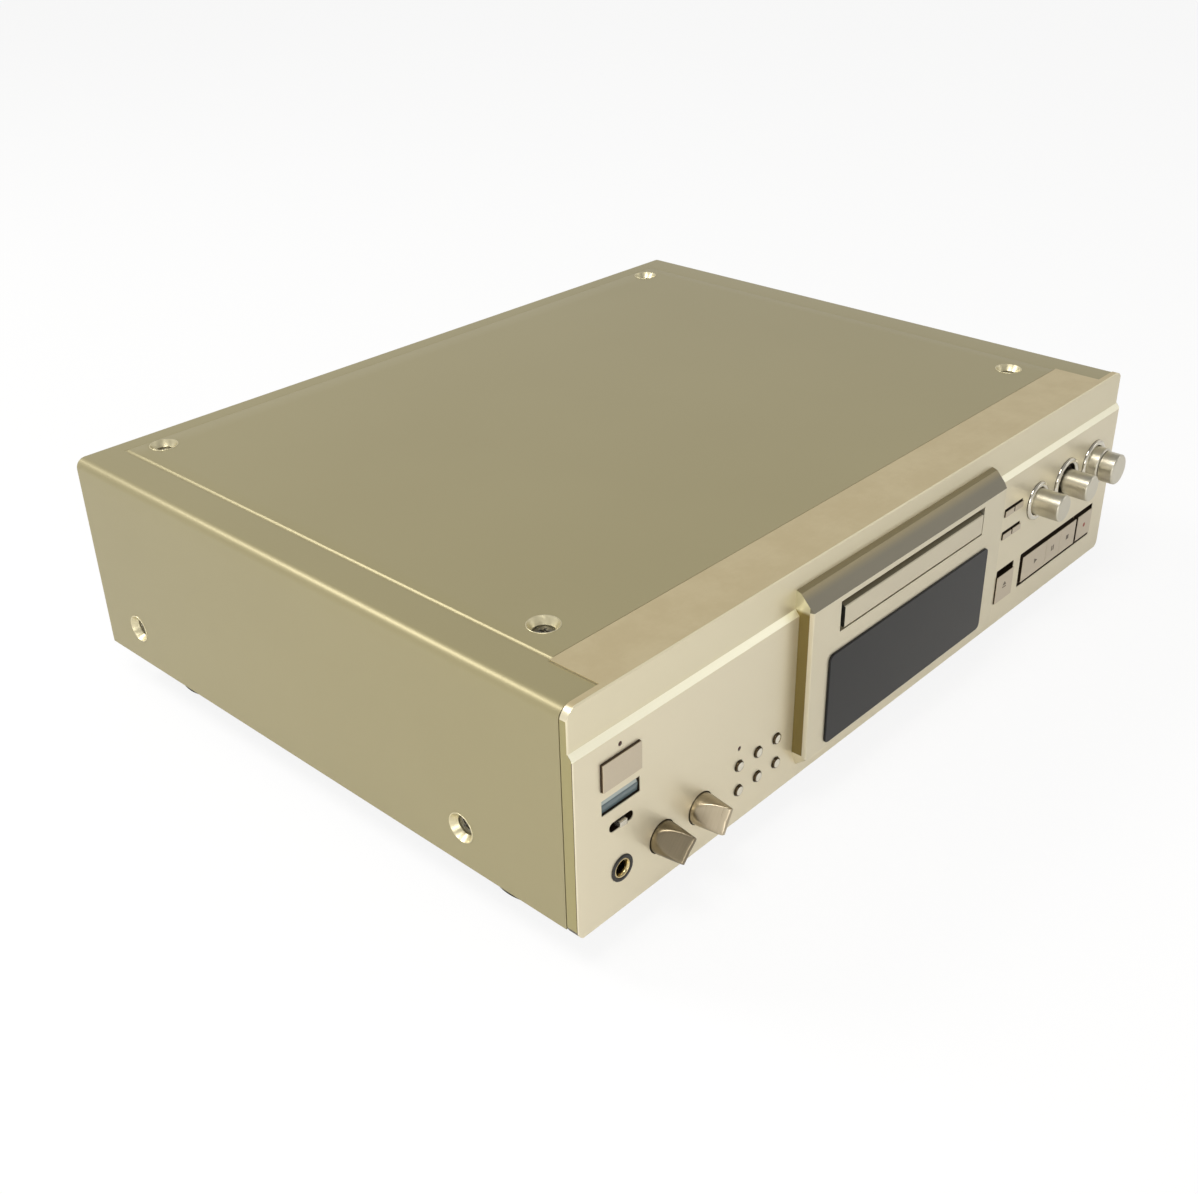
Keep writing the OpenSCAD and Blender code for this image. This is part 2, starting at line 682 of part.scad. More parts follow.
module timer_lever() color(polished) at_cabinet() translate([left_x, 0, timer_z])
    block([-lever_w / 2, -1.5, -1.3], [lever_w / 2, board_y - 1.5 - seat, 1.3]);

module phones_jack() color([0.62, 0.52, 0.34]) at_cabinet() translate([left_x, 0, jack_z]) difference() {
    union() {
        rod_y(jack_r, -0.6, panel_t + 1);
        block([-8, panel_t + seat, -8], [8, jack_y1, 8]);
    }
    rod_y(jack_bore_r, -1, jack_y1 - 2);
    cone_y(jack_bore_r + 1.2, jack_bore_r, -0.61, 0.6);
}

// A control's body on the board, open for a shaft that ends at y1
module control_body(half, r, y1) difference() {
    block([-half, panel_t + 1.5, -half], [half, board_y, half]);
    rod_y(r + run, panel_t, y1 + seat);
}

module rotary_controls() color([0.45, 0.45, 0.44]) at_cabinet() {
    for (x = [level_x, input_x]) translate([x, 0, knob_z]) control_body(6.5, shaft_r, shaft_end);
    for (x = [dial1_x, dial2_x]) translate([x, 0, dial_z]) control_body(7, shaft_r, shaft_end);
    translate([twin_x, 0, dial_z]) difference() {
        control_body(8, shaft_r, shaft_end - 2);
        rod_y(inner_shaft_r + run, panel_t, shaft_end + seat);
    }
}

module dial_rings() color(polished) at_cabinet() for (d = dials) translate([d[0], 0, dial_z])
    rotate([90, 0, 0]) rotate_extrude() {
        translate([d[1] - ring_w, -ring_seat]) square([ring_w, ring_seat]);
        translate([d[1] - ring_w / 2, 0]) circle(r = ring_w / 2);
    }

module transport_frame() color(dark) at_cabinet() difference() {
    rounded_plate(transport_x0 + transport_span / 2, keys_z + transport_h / 2, transport_span - 2 * run,
                  transport_h - 2 * run, 0.8, 1.6, panel_t);
    block([play_x0 - key_gap, 0, key_z0 - key_gap], [stop_x1 + key_gap, panel_t + 1, key_z1 + key_gap]);
    block([record_x0 - key_gap, 0, key_z0 - key_gap], [record_x1 + key_gap, panel_t + 1, key_z1 + key_gap]);
}

// Places of all the switches on the front board
switches = concat([[left_x, power_z]], round_places,
    [for (z = small_z, k = [0.25, 0.75]) [small_x + small_w * k, z + small_h / 2]],
    [[eject_x0 + eject_span / 2, keys_z + eject_key_h / 2]],
    [for (k = [[play_x0, play_w], [pause_x0, pause_w], [stop_x0, stop_w], [record_x0, record_w]])
        [k[0] + k[1] / 2, (key_z0 + key_z1) / 2]]);

module front_board() color(board_green) at_cabinet() {
    difference() {
        union() {
            block([-board_half, board_y, 6], [board_half, board_y + board_t, tray_z - 4]);
            for (s = [-1, 1]) translate([s * (board_half + 65) / 2, 0, 0])
                block([-(board_half - 65) / 2, board_y, 6], [(board_half - 65) / 2, board_y + board_t, 84]);
        }
        translate([left_x, 0, jack_z]) block([-9, board_y - 1, -9], [9, board_y + 3, 9]);
    }
    for (p = switches) translate([p[0], 0, p[1]]) {
        block([-2.3, switch_y, -2.3], [2.3, board_y + 0.1, 2.3]);
        rod_y(1.3, plunger_y, switch_y + 0.1);
    }
}

module display_tube() color([0.3, 0.4, 0.4]) at_cabinet()
    block([-window_w / 2 + 4, 0, window_z + 4], [window_w / 2 - 4, board_y - seat, window_z + window_h - 4]);

module power_button() color(champagne) at_cabinet()
    key_in(left_x - power_span / 2, left_x + power_span / 2, power_z - power_h / 2, power_z + power_h / 2, 1.3);

// Blade knob: a tapered cylinder cut by two slanted planes, turned by an angle
module blade_knob(turn) rotate([0, turn, 0]) {
    intersection() {
        cone_y(knob_r - 1.3, knob_r, -knob_l, -2);
        blade_wedge();
    }
    rod_y(knob_r, -2, knob_recess);
    rod_y(shaft_r, 0, shaft_end);
}

module blade_wedge() linear_extrude(2 * knob_r + 2, center = true)
    polygon([[-1, -knob_l], [1, -knob_l], [knob_r, -2], [-knob_r, -2]]);

module level_knob() color(champagne) at_cabinet() translate([level_x, 0, knob_z]) blade_knob(level_rest);

module input_knob() color(champagne) at_cabinet() translate([input_x, 0, knob_z]) blade_knob(input_rest);

module round_button(k) color(polished) at_cabinet() translate([round_places[k][0], 0, round_places[k][1]]) {
    rod_y(round_r, -0.6, panel_t + seat + 0.1);
    intersection() {
        rod_y(round_r, -2, 0);
        translate([0, 1.9, 0]) sphere(r = 3.3);
    }
    rod_y(round_r + 1, panel_t + seat, panel_t + seat + flange_t);
    rod_y(stem_r, panel_t + seat, stem_y);
}

module round_button_1() round_button(0);
module round_button_2() round_button(1);
module round_button_3() round_button(2);
module round_button_4() round_button(3);
module round_button_5() round_button(4);
module round_button_6() round_button(5);

module small_key(side, z) color(key_grey) at_cabinet() {
    middle = small_x + small_w / 2;
    if (side < 0) key_body(small_x + key_gap, middle - 0.6, z + key_gap, z + small_h - 1.2, 0.8);
    else key_body(middle + 0.6, small_x + small_w - key_gap, z + key_gap, z + small_h - 1.2, 0.8);
}

module small_key_1() small_key(-1, small_z[0]);
module small_key_2() small_key(1, small_z[0]);
module small_key_3() small_key(-1, small_z[1]);
module small_key_4() small_key(1, small_z[1]);

module eject_key() color(key_grey) at_cabinet()
    key_in(eject_x0, eject_x0 + eject_span, keys_z, keys_z + eject_key_h, 0.8);

module transport_key(x0, x1) color(key_grey) at_cabinet() key_body(x0, x1, key_z0, key_z1, 0.8);

module play_key() transport_key(play_x0, pause_x0 - key_gap);
module pause_key() transport_key(pause_x0, stop_x0 - key_gap);
module stop_key() transport_key(stop_x0, stop_x1);
module record_key() transport_key(record_x0, record_x1);

// A turned dial with a bevelled front edge
module dial_body(r, y0, y1) {
    rod_y(r, y0 + 0.6, y1);
    cone_y(r - 0.6, r, y0, y0 + 0.6);
}

module dial_1() color(champagne) at_cabinet() translate([dial1_x, 0, dial_z]) {
    dial_body(dial_r1, -dial_l, 2);
    rod_y(shaft_r, 0, shaft_end);
}

module dial_2() color(champagne) at_cabinet() translate([dial2_x, 0, dial_z]) {
    dial_body(dial_r2, -dial_l, 2);
    rod_y(shaft_r, 0, shaft_end);
}

module twin_dial_front() color(champagne) at_cabinet() translate([twin_x, 0, dial_z]) {
    dial_body(twin_front_r, -twin_l, twin_split - seat / 2);
    rod_y(inner_shaft_r, twin_split - 1, shaft_end);
}

module twin_dial_rear() color(champagne) at_cabinet() translate([twin_x, 0, dial_z]) difference() {
    union() {
        dial_body(twin_rear_r, twin_split + seat / 2, 2);
        rod_y(shaft_r, 0, shaft_end - 2);
    }
    rod_y(inner_shaft_r + run, twin_split, shaft_end);
}

// ---------- disc loader ----------

module rack_teeth() {
    pitch = PI * rack_m;
    tip = pitch / 4 - rack_m * tan(20) - 0.06;
    root = pitch / 4 + 1.25 * rack_m * tan(20) - 0.06;
    for (k = [-2:floor((arm_y1 - gear_y - 1) / pitch) - 1]) translate([rack_line, gear_y + (k + 0.5) * pitch])
        polygon([[-rack_m, -tip], [-rack_m, tip], [1.25 * rack_m, root], [1.6 * rack_m, root],
                 [1.6 * rack_m, -root], [1.25 * rack_m, -root]]);
}

module tray() color(dark) at_cabinet() difference() {
    arm_z = tray_z + seat;
    rack_root = rack_line + 1.25 * rack_m;
    union() {
        block([-slab_half, tray_y0, tray_z], [slab_half, slab_y1, tray_z + slab_h]);
        block([slab_half - 1, tray_y0, arm_z], [arm_half, arm_y1, arm_z + arm_h]);
        block([rack_root, tray_y0, arm_z], [-slab_half + 1, arm_y1, arm_z + arm_h]);
        block([-arm_half, tray_y0, arm_z], [-slab_half + 1, gear_y - 2.2 * PI * rack_m, arm_z + arm_h]);
        translate([0, 0, arm_z]) linear_extrude(arm_h) rack_teeth();
    }
    block([-cart_w / 2 - well_gap, well_y0, tray_z + floor_t],
          [cart_w / 2 + well_gap, well_y1, tray_z + slab_h + 1]);
    block([slot_x0, hub_y - 9, tray_z - 1], [slot_x1, slab_y1 + 1, tray_z + slab_h + 1]);
    translate([0, well_y0 + 6, tray_z + floor_t]) cylinder(r = 12, h = slab_h);
}

module tray_front() color(champagne) at_cabinet() {
    half = mouth_w / 2 - 2;
    z0 = mouth_z + 1.5;
    z1 = mouth_z + mouth_h - 1.9;
    slab_x(-half, half) polygon([[tray_y0, z0], [0.3 - front_y, z0], [-front_y, z0 + 0.3],
        [-front_y, z1 - 1.56], [2.5 - front_y, z1], [tray_y0, z1]]);
}

module loader_frame() color([0.3, 0.3, 0.31]) at_cabinet() {
    left_wall = arm_half + 1.2;
    lip_z = tray_z + seat + arm_h + seat;
    wall_z0 = tray_z - 3;
    difference() {
        union() {
            block([frame_x0, frame_y0, deck_z], [frame_x1, frame_y1, deck_z + deck_t]);
            for (w = [[-left_wall - wall_t, -left_wall], [wall_x, wall_x + wall_t]]) {
                block([w[0], panel_t + 1, wall_z0], [w[1], frame_y1, lip_z + 1.8]);
                block([w[0], frame_y0, deck_z], [w[1], frame_y1, lip_z + 1.8]);
            }
            block([-left_wall - 1, panel_t + 1, tray_z - 1.5], [-slab_half - 2, frame_y1, tray_z]);
            block([slab_half + 2, panel_t + 1, tray_z - 1.5], [wall_x + 1, frame_y1, tray_z]);
            block([-left_wall - 1, panel_t + 1, lip_z], [-slab_half - 5, frame_y1, lip_z + 1.8]);
            block([slab_half + 5, panel_t + 1, lip_z], [wall_x + 1, frame_y1, lip_z + 1.8]);
            for (p = posts) translate([p[0], p[1], chassis_t]) cylinder(r = post_r, h = deck_z - chassis_t + 1);
            translate([gear_x, gear_y, deck_z + 1]) cylinder(r = 4, h = wheel_z - seat - deck_z - 1);
        }
        block([pickup_x0 - 1.5, pickup_y0 - 1.5, deck_z - 1], [pickup_x1 + 1.5, pickup_y1 + 1.5, deck_z + 4]);
        block([-left_wall - wall_t - 1, gear_y - wheel_r - 2.5, wheel_z - 0.6],
              [-left_wall + 1, motor_y + motor_gear_r + 2.5, wheel_z + wheel_t + 0.2]);
        block([-left_wall - wall_t - 1, gear_y - pinion_r - 2.5, wheel_z + wheel_t - 0.1],
              [rack_line + 1.5, gear_y + pinion_r + 2.5, lip_z - 0.1]);
        translate([gear_x, motor_y, deck_z - 1]) cylinder(r = motor_gear_r + 2, h = deck_t + 2);
        for (p = posts) translate([p[0], p[1], 0]) cylinder(r = bolt_r + thread_gap, h = chassis_t + 8);
    }
    translate([gear_x, gear_y, deck_z + 1]) cylinder(r = rod_r, h = pinion_z + 4 - deck_z);
}

module loading_gear() color([0.85, 0.85, 0.8]) at_cabinet() translate([gear_x, gear_y, 0]) difference() {
    union() {
        translate([0, 0, wheel_z]) linear_extrude(wheel_t) rotate(90) gear_outline(motor_m, wheel_teeth, 0.1);
        translate([0, 0, wheel_z]) cylinder(r = 5, h = pinion_z - wheel_z + 1);
        translate([0, 0, pinion_z]) linear_extrude(arm_h - 0.9) gear_outline(rack_m, pinion_teeth, 0.08);
    }
    translate([0, 0, wheel_z - 1]) cylinder(r = rod_r + run, h = 20);
}

module motor_gear() color([0.85, 0.85, 0.8]) at_cabinet() translate([gear_x, motor_y, 0]) {
    translate([0, 0, wheel_z]) linear_extrude(wheel_t)
        rotate(180 / motor_teeth - 90) gear_outline(motor_m, motor_teeth, 0.1);
    translate([0, 0, motor_z1 - 16]) cylinder(r = 1, h = wheel_z - motor_z1 + 17);
}

module loading_motor() color(steel) at_cabinet() translate([gear_x, motor_y, 0]) difference() {
    union() {
        translate([0, 0, motor_z1 - 24]) cylinder(r = 12, h = 24);
        translate([0, 0, motor_z1 - 1]) cylinder(r = 3, h = deck_t + 1);
    }
    translate([0, 0, motor_z1 - 16.5]) cylinder(r = 1 + run, h = 30);
}

// ---------- pickup unit ----------

module pickup_base() color(steel) at_cabinet() difference() {
    union() {
        block([pickup_x0, pickup_y0, base_z0], [pickup_x1, pickup_y1, base_z1]);
        for (y = [pickup_y0 + 4, pickup_y1 - 10])
            block([pickup_x0 - 5, y, deck_z + deck_t + seat], [pickup_x1 + 3, y + 6, base_z1]);
        for (x = [rail_x0, rail_x1 - rail_wall])
            block([x, front_rod_y - 3, base_z1 - 0.5], [x + rail_wall, screw_y + 3, rod_z + 3]);
        for (y = [front_rod_y, rear_rod_y]) translate([0, y, rod_z]) rod_x(rod_r, rail_x0 + 2, rail_x1 - 2);
    }
    translate([0, hub_y, base_z0 - 1]) cylinder(r = 3.5, h = 6);
    translate([0, screw_y, rod_z]) rod_x(1 + run, rail_x0 - 1, rail_x1 + 1);
}

module pickup_motors() color([0.7, 0.7, 0.72]) at_cabinet() {
    translate([0, hub_y, base_z0 - 8]) difference() {
        cylinder(r = 11, h = 8);
        translate([0, 0, 0.7]) cylinder(r = 1 + run, h = 9);
    }
    translate([0, screw_y, rod_z]) difference() {
        rod_x(rod_z - base_z1, motor_x0, rail_x0);
        rod_x(1 + run, motor_x0 + 1, rail_x0 + 1);
    }
}

module turntable() color([0.75, 0.75, 0.76]) at_cabinet() translate([0, hub_y, 0]) {
    translate([0, 0, base_z0 - 7]) cylinder(r = 1, h = 8);
    translate([0, 0, base_z0 + 0.3]) cylinder(r = 2.2, h = platter_z + 1 - base_z0);
    translate([0, 0, platter_z]) cylinder(r = 8, h = 1.8);
    translate([0, 0, platter_z + 1.2]) cylinder(r = 5, h = 3.7);
}

module laser_sled() color([0.5, 0.5, 0.5]) at_cabinet() {
    difference() {
        union() {
            block([sled_x0, front_rod_y - 3, base_z1 + seat], [sled_x1, screw_y + 3, rod_z + 3.2]);
            block([17, screw_y + 2, base_z1 + seat], [27, arm_pivot_y + 2.5, base_z1 + seat + 3]);
            for (x = [17, 24.6])
                block([x, arm_pivot_y - 2.5, base_z1 + seat], [x + 2.4, arm_pivot_y + 2.5, arm_pivot_z + 2.5]);
            translate([22, hub_y, rod_z]) cylinder(r = 3.5, h = tray_z - 0.9 - rod_z);
        }
        for (y = [front_rod_y, rear_rod_y]) translate([0, y, rod_z]) rod_x(rod_r + run, sled_x0 - 1, sled_x1 + 1);
        translate([0, screw_y, rod_z]) rod_x(screw_r + run, sled_x0 - 1, sled_x1 + 1);
    }
    translate([0, arm_pivot_y, arm_pivot_z]) rod_x(1, 17.5, 26.5);
}

module lead_screw() color([0.8, 0.8, 0.8]) at_cabinet() translate([0, screw_y, rod_z]) {
    rod_x(1, motor_x0 + 2, rail_x1 - 0.5);
    rod_x(screw_r, rail_x0 + rail_wall + seat, rail_x1 - rail_wall - seat);
}

module head_arm() color([0.6, 0.6, 0.58]) at_cabinet() difference() {
    union() {
        translate([0, arm_pivot_y, arm_pivot_z]) rod_x(2.6, 19.7, 24.3);
        block([20.5, hub_y - 3, arm_pivot_z - 1.2], [23.5, arm_pivot_y - 1, arm_pivot_z + 1]);
        block([19, hub_y - 3, arm_pivot_z - 2.6], [25, hub_y + 3, arm_pivot_z - 1]);
    }
    translate([0, arm_pivot_y, arm_pivot_z]) rod_x(1 + run, 19, 25);
}

// ---------- electronics ----------

module main_board() color(board_green) at_cabinet() {
    x1 = chassis_x - 14;
    y1 = rear_y - 18;
    block([main_x0, main_y0, board_level], [x1, y1, board_level + board_t]);
    for (c = [[20, 30, 24], [70, 30, 18], [120, 40, 22], [40, 90, 14], [100, 100, 28], [160, 90, 16]])
        translate([main_x0 + c[0], main_y0 + c[1], board_level]) block([0, 0, 0], [c[2], c[2], board_t + 2.4]);
    for (k = [0:5]) translate([main_x0 + 30 + 28 * k, y1 - 24, board_level]) cylinder(r = 5, h = board_t + 14);
}

module power_board() color([0.5, 0.4, 0.22]) at_cabinet() {
    fin_x = power_x1 - 58;
    fin_y = main_y0 + power_d - fin_d - 12;
    block([power_x0, main_y0, board_level], [power_x1, main_y0 + power_d, board_level + board_t]);
    for (x = [across(30), across(62)], y = [20, 44])
        translate([power_x0 + x, main_y0 + y, board_level]) cylinder(r = cap_r, h = board_t + 35);
    for (k = [0:6]) translate([fin_x + 7 * k, fin_y, board_level]) block([0, 0, 0], [1.6, fin_d, board_t + fin_h]);
    translate([fin_x, fin_y + fin_d / 2 - 2, board_level]) block([0, 0, 0], [43, 3, board_t + fin_h]);
}

module transformer() color([0.35, 0.3, 0.25]) at_cabinet() translate([transformer_x, rear_y - 62, chassis_t]) {
    block([-core[0] / 2 - 7, -core[1] / 2 - 6, 0], [core[0] / 2 + 7, core[1] / 2 + 6, 2]);
    block([-core[0] / 2, -core[1] / 2, 0], [core[0] / 2, core[1] / 2, core[2]]);
    translate([0, 0, core[2] / 2]) cube(coil, center = true);
}

module rear_jacks() color(dark) at_cabinet() {
    back = rear_y - chassis_t;
    block([phono_x - 12, back - 14, board_level + 8], [phono_x + 32, back, phono_z + 30]);
    block([optical_x[0] - 9, back - 14, board_level + 8], [coax_x + 9, back, optical_z + 10]);
    for (p = phono_places) translate([p[0], 0, p[1]]) difference() {
        rod_y(phono_r, back - 1, rear_y + jack_proud);
        rod_y(1.7, rear_y + 1, rear_y + jack_proud + 1);
    }
    for (x = optical_x) block([x - 5 + run, back - 1, optical_z - 5 + run],
                              [x + 5 - run, rear_y + 1.5, optical_z + 5 - run]);
    for (x = [phono_x - 8, phono_x + 24, optical_x[0] - 4, coax_x + 4])
        block([x - 1, back - 12, chassis_t], [x + 1, back - 2, board_level + 9]);
}

module mains_inlet() color(dark) at_cabinet() translate([inlet_x, 0, inlet_z]) difference() {
    union() {
        block([-12 + run, rear_y - 18, -9 + run], [12 - run, rear_y + 1.2, 9 - run]);
        block([-15, rear_y - chassis_t - 2, -9 + run], [15, rear_y - chassis_t, 9 - run]);
    }
    rounded_plate(0, 0, 16, 9, 4.4, rear_y - 12, rear_y + 2);
}

front_panel();
centre_bezel();
display_window();
wrap_cover();
cover_bolts();
bolt_cups();
cover_brace();
bottom_chassis();
rear_panel();
feet();
bottom_screws();
led_lenses();
receiver_window();
timer_switch();
timer_lever();
phones_jack();
rotary_controls();
dial_rings();
transport_frame();
front_board();
display_tube();
power_button();
level_knob();
input_knob();
round_button_1();
round_button_2();
round_button_3();
round_button_4();
round_button_5();
round_button_6();
small_key_1();
small_key_2();
small_key_3();
small_key_4();
eject_key();
play_key();
pause_key();
stop_key();
record_key();
dial_1();
dial_2();
twin_dial_front();
twin_dial_rear();
tray();
tray_front();
loader_frame();
loading_gear();
motor_gear();
loading_motor();
pickup_base();
pickup_motors();
turntable();
laser_sled();
lead_screw();
head_arm();
main_board();
power_board();
transformer();
rear_jacks();
mains_inlet();
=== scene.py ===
"""Looks of a full-width minidisc deck: its camera, its light, and each piece from the cabinet inward."""

from math import cos, pi, radians, sin

import bmesh
import bpy
import numpy as np
from mathutils import Matrix, Vector


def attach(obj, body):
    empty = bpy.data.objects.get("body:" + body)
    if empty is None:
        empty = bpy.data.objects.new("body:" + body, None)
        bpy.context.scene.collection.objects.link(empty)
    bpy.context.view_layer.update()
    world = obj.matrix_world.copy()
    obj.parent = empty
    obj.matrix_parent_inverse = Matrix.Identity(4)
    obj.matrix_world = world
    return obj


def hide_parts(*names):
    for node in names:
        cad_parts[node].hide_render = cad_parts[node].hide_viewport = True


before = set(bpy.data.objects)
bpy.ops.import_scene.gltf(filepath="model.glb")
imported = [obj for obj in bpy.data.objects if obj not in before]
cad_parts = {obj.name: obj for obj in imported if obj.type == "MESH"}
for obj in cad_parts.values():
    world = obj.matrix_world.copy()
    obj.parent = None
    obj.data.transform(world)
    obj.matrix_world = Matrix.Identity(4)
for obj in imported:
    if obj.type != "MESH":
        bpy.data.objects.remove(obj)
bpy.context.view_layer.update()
scene = bpy.context.scene
scene.view_settings.view_transform = "Standard"

# ---------------------------------------------------------------------------------------------
# Camera: held in front of the deck's left corner, 40 cm above the surface it stands on, with a
# short lens, so the left side, the whole front and the top all show.
camera_place = Vector((-0.50518, -0.44979, 0.40295))
camera_forward = Vector((0.6397, 0.5875, -0.4953)).normalized()
camera_right = Vector((0.67115, -0.74122, -0.01269))
photo_width = 1198
focal_pixels = 1437.4
sensor_mm = 36.0

camera_right = (camera_right - camera_forward * camera_right.dot(camera_forward)).normalized()
camera_up = camera_right.cross(camera_forward)
camera_data = bpy.data.cameras.new("camera")
camera_data.sensor_width = sensor_mm
camera_data.lens = focal_pixels / photo_width * sensor_mm
camera_data.shift_x = -0.01653
camera_data.shift_y = -0.00083
camera_data.clip_start = 0.02
camera = bpy.data.objects.new("camera", camera_data)
turn = Matrix((camera_right, camera_up, -camera_forward)).transposed()
camera.matrix_world = Matrix.Translation(camera_place) @ turn.to_4x4()
scene.collection.objects.link(camera)
scene.camera = camera

# ---------------------------------------------------------------------------------------------
# Studio: a pale table top that runs on as its own backdrop, a pale room with a darker ceiling,
# and soft lamps over and behind the deck's left side that draw the bright lines on the metal.
# Two low lamps in front, left and right, light the panel's face and its sloping ledge.


class Shade:
    """A shader socket that takes + - * > < and abs, each of which adds a Math node."""

    def __init__(self, finish, socket):
        self.finish, self.socket = finish, socket

    def math(self, operation, *values):
        return self.finish.node("ShaderNodeMath", {"operation": operation}, *values)

    def __add__(self, other):
        return self.math("ADD", self, other)

    def __sub__(self, other):
        return self.math("SUBTRACT", self, other)

    def __rsub__(self, other):
        return self.math("SUBTRACT", other, self)

    def __mul__(self, other):
        return self.math("MULTIPLY", self, other)

    def __gt__(self, other):
        return self.math("GREATER_THAN", self, other)

    def __lt__(self, other):
        return self.math("LESS_THAN", self, other)

    def __abs__(self):
        return self.math("ABSOLUTE", self)

    def step(self, low, high):
        """0 below low and 1 above high, smooth between them."""
        settings = {"interpolation_type": "SMOOTHSTEP"}
        return self.finish.node("ShaderNodeMapRange", settings, self, low, high)

    __radd__ = __add__


class Finish:
    """A material, or the world, with one method that adds a node and returns its output."""

    def __init__(self, name, owner=None, **numbers):
        self.owner = owner or bpy.data.materials.new(name)
        self.owner.use_nodes = True
        self.tree = self.owner.node_tree
        self.shader = self.tree.nodes.get("Principled BSDF")
        for socket, number in numbers.items():
            self.shader.inputs[socket.replace("_", " ").title()].default_value = number

    def node(self, kind, settings, *inputs, out=0, **named):
        """A node of that kind: its settings come first, then its sockets in order and by name."""
        made = self.tree.nodes.new(kind)
        for setting, value in settings.items():
            setattr(made, setting, value)
        for key, value in list(enumerate(inputs)) + list(named.items()):
            socket = made.inputs[key if isinstance(key, int) else key.replace("_", " ")]
            self.feed(socket, value)
        return Shade(self, made.outputs[out])

    def feed(self, socket, value):
        """Links a shade to a socket, or writes a plain value into it."""
        if isinstance(value, Shade):
            self.tree.links.new(value.socket, socket)
        elif value is not None:
            socket.default_value = value

    def set(self, **links):
        for name, value in links.items():
            self.feed(self.shader.inputs[name.replace("_", " ").title()], value)

    def place(self, scale=(1, 1, 1)):
        """Object coordinates in metres, scaled along each axis."""
        raw = self.node("ShaderNodeTexCoord", {}, out=3)
        return self.node("ShaderNodeMapping", {}, Vector=raw, Scale=scale)

    def axis(self, index):
        """One coordinate of the point being shaded, in metres of the row frame."""
        return self.node("ShaderNodeSeparateXYZ", {}, self.place(), out=index)

    def noise(self, place, scale, detail=2.0, roughness=0.5):
        return self.node("ShaderNodeTexNoise", {}, Vector=place, Scale=scale, Detail=detail,
                         Roughness=roughness)

    def blend(self, share, first, second):
        """A colour that runs from first to second as share goes from 0 to 1."""
        factor_input, first_colour, second_colour = 0, 6, 7
        mixed = self.node("ShaderNodeMix", {"data_type": "RGBA"}, out=2)
        for index, value in ((factor_input, share), (first_colour, first), (second_colour, second)):
            self.feed(mixed.socket.node.inputs[index], value)
        return mixed

    def bump(self, height, strength, distance):
        return self.node("ShaderNodeBump", {}, Height=height, Strength=strength, Distance=distance)

    def speckled(self, first, second, scale, rough=None, bump=None, detail=2.0):
        """Two paints mixed by a fine noise. The same noise varies the roughness from rough[0] by
        rough[1], and raises a relief with the strength and distance of bump."""
        specks = self.noise(self.place(), scale, detail)
        tone = self.blend(specks, paint(*first), paint(*second))
        self.set(base_color=tone)
        if rough:
            self.set(roughness=rough[0] + specks * rough[1])
        if bump:
            self.set(normal=self.bump(specks, *bump))
        return tone


def paint(red, green, blue):
    """A colour as seen on a screen, 0 to 255, in the linear numbers that a shader takes."""
    share = np.array([red, green, blue]) / 255.0
    linear = np.where(share <= 0.04045, share / 12.92, ((share + 0.055) / 1.055) ** 2.4)
    return (*linear.tolist(), 1.0)


table_half = 6.0
table_data = bpy.data.meshes.new("table")
table_data.from_pydata([(-table_half, -table_half, 0), (table_half, -table_half, 0),
                        (table_half, table_half, 0), (-table_half, table_half, 0)], [], [(0, 1, 2, 3)])
table = bpy.data.objects.new("table", table_data)
scene.collection.objects.link(table)

table_top = Finish("table_top", roughness=0.9)
grain = table_top.noise(table_top.place(), 3.0)
table_top.set(base_color=table_top.blend(grain, paint(247, 247, 247), paint(252, 252, 252)))
rays = table_top.node("ShaderNodeLightPath", {}).socket.node.outputs
seen_white = table_top.node("ShaderNodeEmission", {}, (1, 1, 1, 1), 1.0)
table_mix = table_top.node("ShaderNodeMixShader", {}, 1.0)
white_to_camera, white_to_mirror = 0.88, 0.06
white_share = (Shade(table_top, rays["Is Camera Ray"]) * white_to_camera
               + Shade(table_top, rays["Is Glossy Ray"]) * white_to_mirror)
table_top.feed(table_mix.socket.node.inputs[0], white_share)
table_top.tree.links.new(table_top.shader.outputs[0], table_mix.socket.node.inputs[1])
table_top.tree.links.new(seen_white.socket, table_mix.socket.node.inputs[2])
table_top.tree.links.new(table_mix.socket, table_top.tree.nodes["Material Output"].inputs[0])
table_data.materials.append(table_top.owner)

room = Finish("room", owner=bpy.data.worlds.new("room"))
scene.world = room.owner
rays = room.node("ShaderNodeLightPath", {}).socket.node.outputs
seen = Shade(room, rays["Is Camera Ray"]) + Shade(room, rays["Is Transmission Ray"])
mirrored = Shade(room, rays["Is Glossy Ray"])
rise = room.node("ShaderNodeSeparateXYZ", {}, room.node("ShaderNodeTexCoord", {}, out=0), out=2)
room_level, wall_level, ceiling_level = 0.40, 0.78, 0.36
wall_ends, ceiling_starts = 0.40, 0.60
graded = wall_level + rise.step(wall_ends, ceiling_starts) * (ceiling_level - wall_level)
backdrop = room.tree.nodes["Background"]
backdrop.inputs[0].default_value = (1.0, 0.99, 0.97, 1.0)
room.feed(backdrop.inputs[1], room_level + seen * (1 - room_level) + mirrored * (graded - room_level))


def soft_lamp(name, place, aim, width, height, watts):
    """A rectangular lamp at place that faces aim, in metres, with a slightly warm light."""
    data = bpy.data.lights.new(name, "AREA")
    data.shape = "RECTANGLE"
    data.size, data.size_y, data.energy, data.color = width, height, watts, (1.0, 0.98, 0.95)
    lamp = bpy.data.objects.new(name, data)
    facing = (Vector(aim) - Vector(place)).to_track_quat("-Z", "Y")
    lamp.matrix_world = Matrix.Translation(place) @ facing.to_matrix().to_4x4()
    scene.collection.objects.link(lamp)


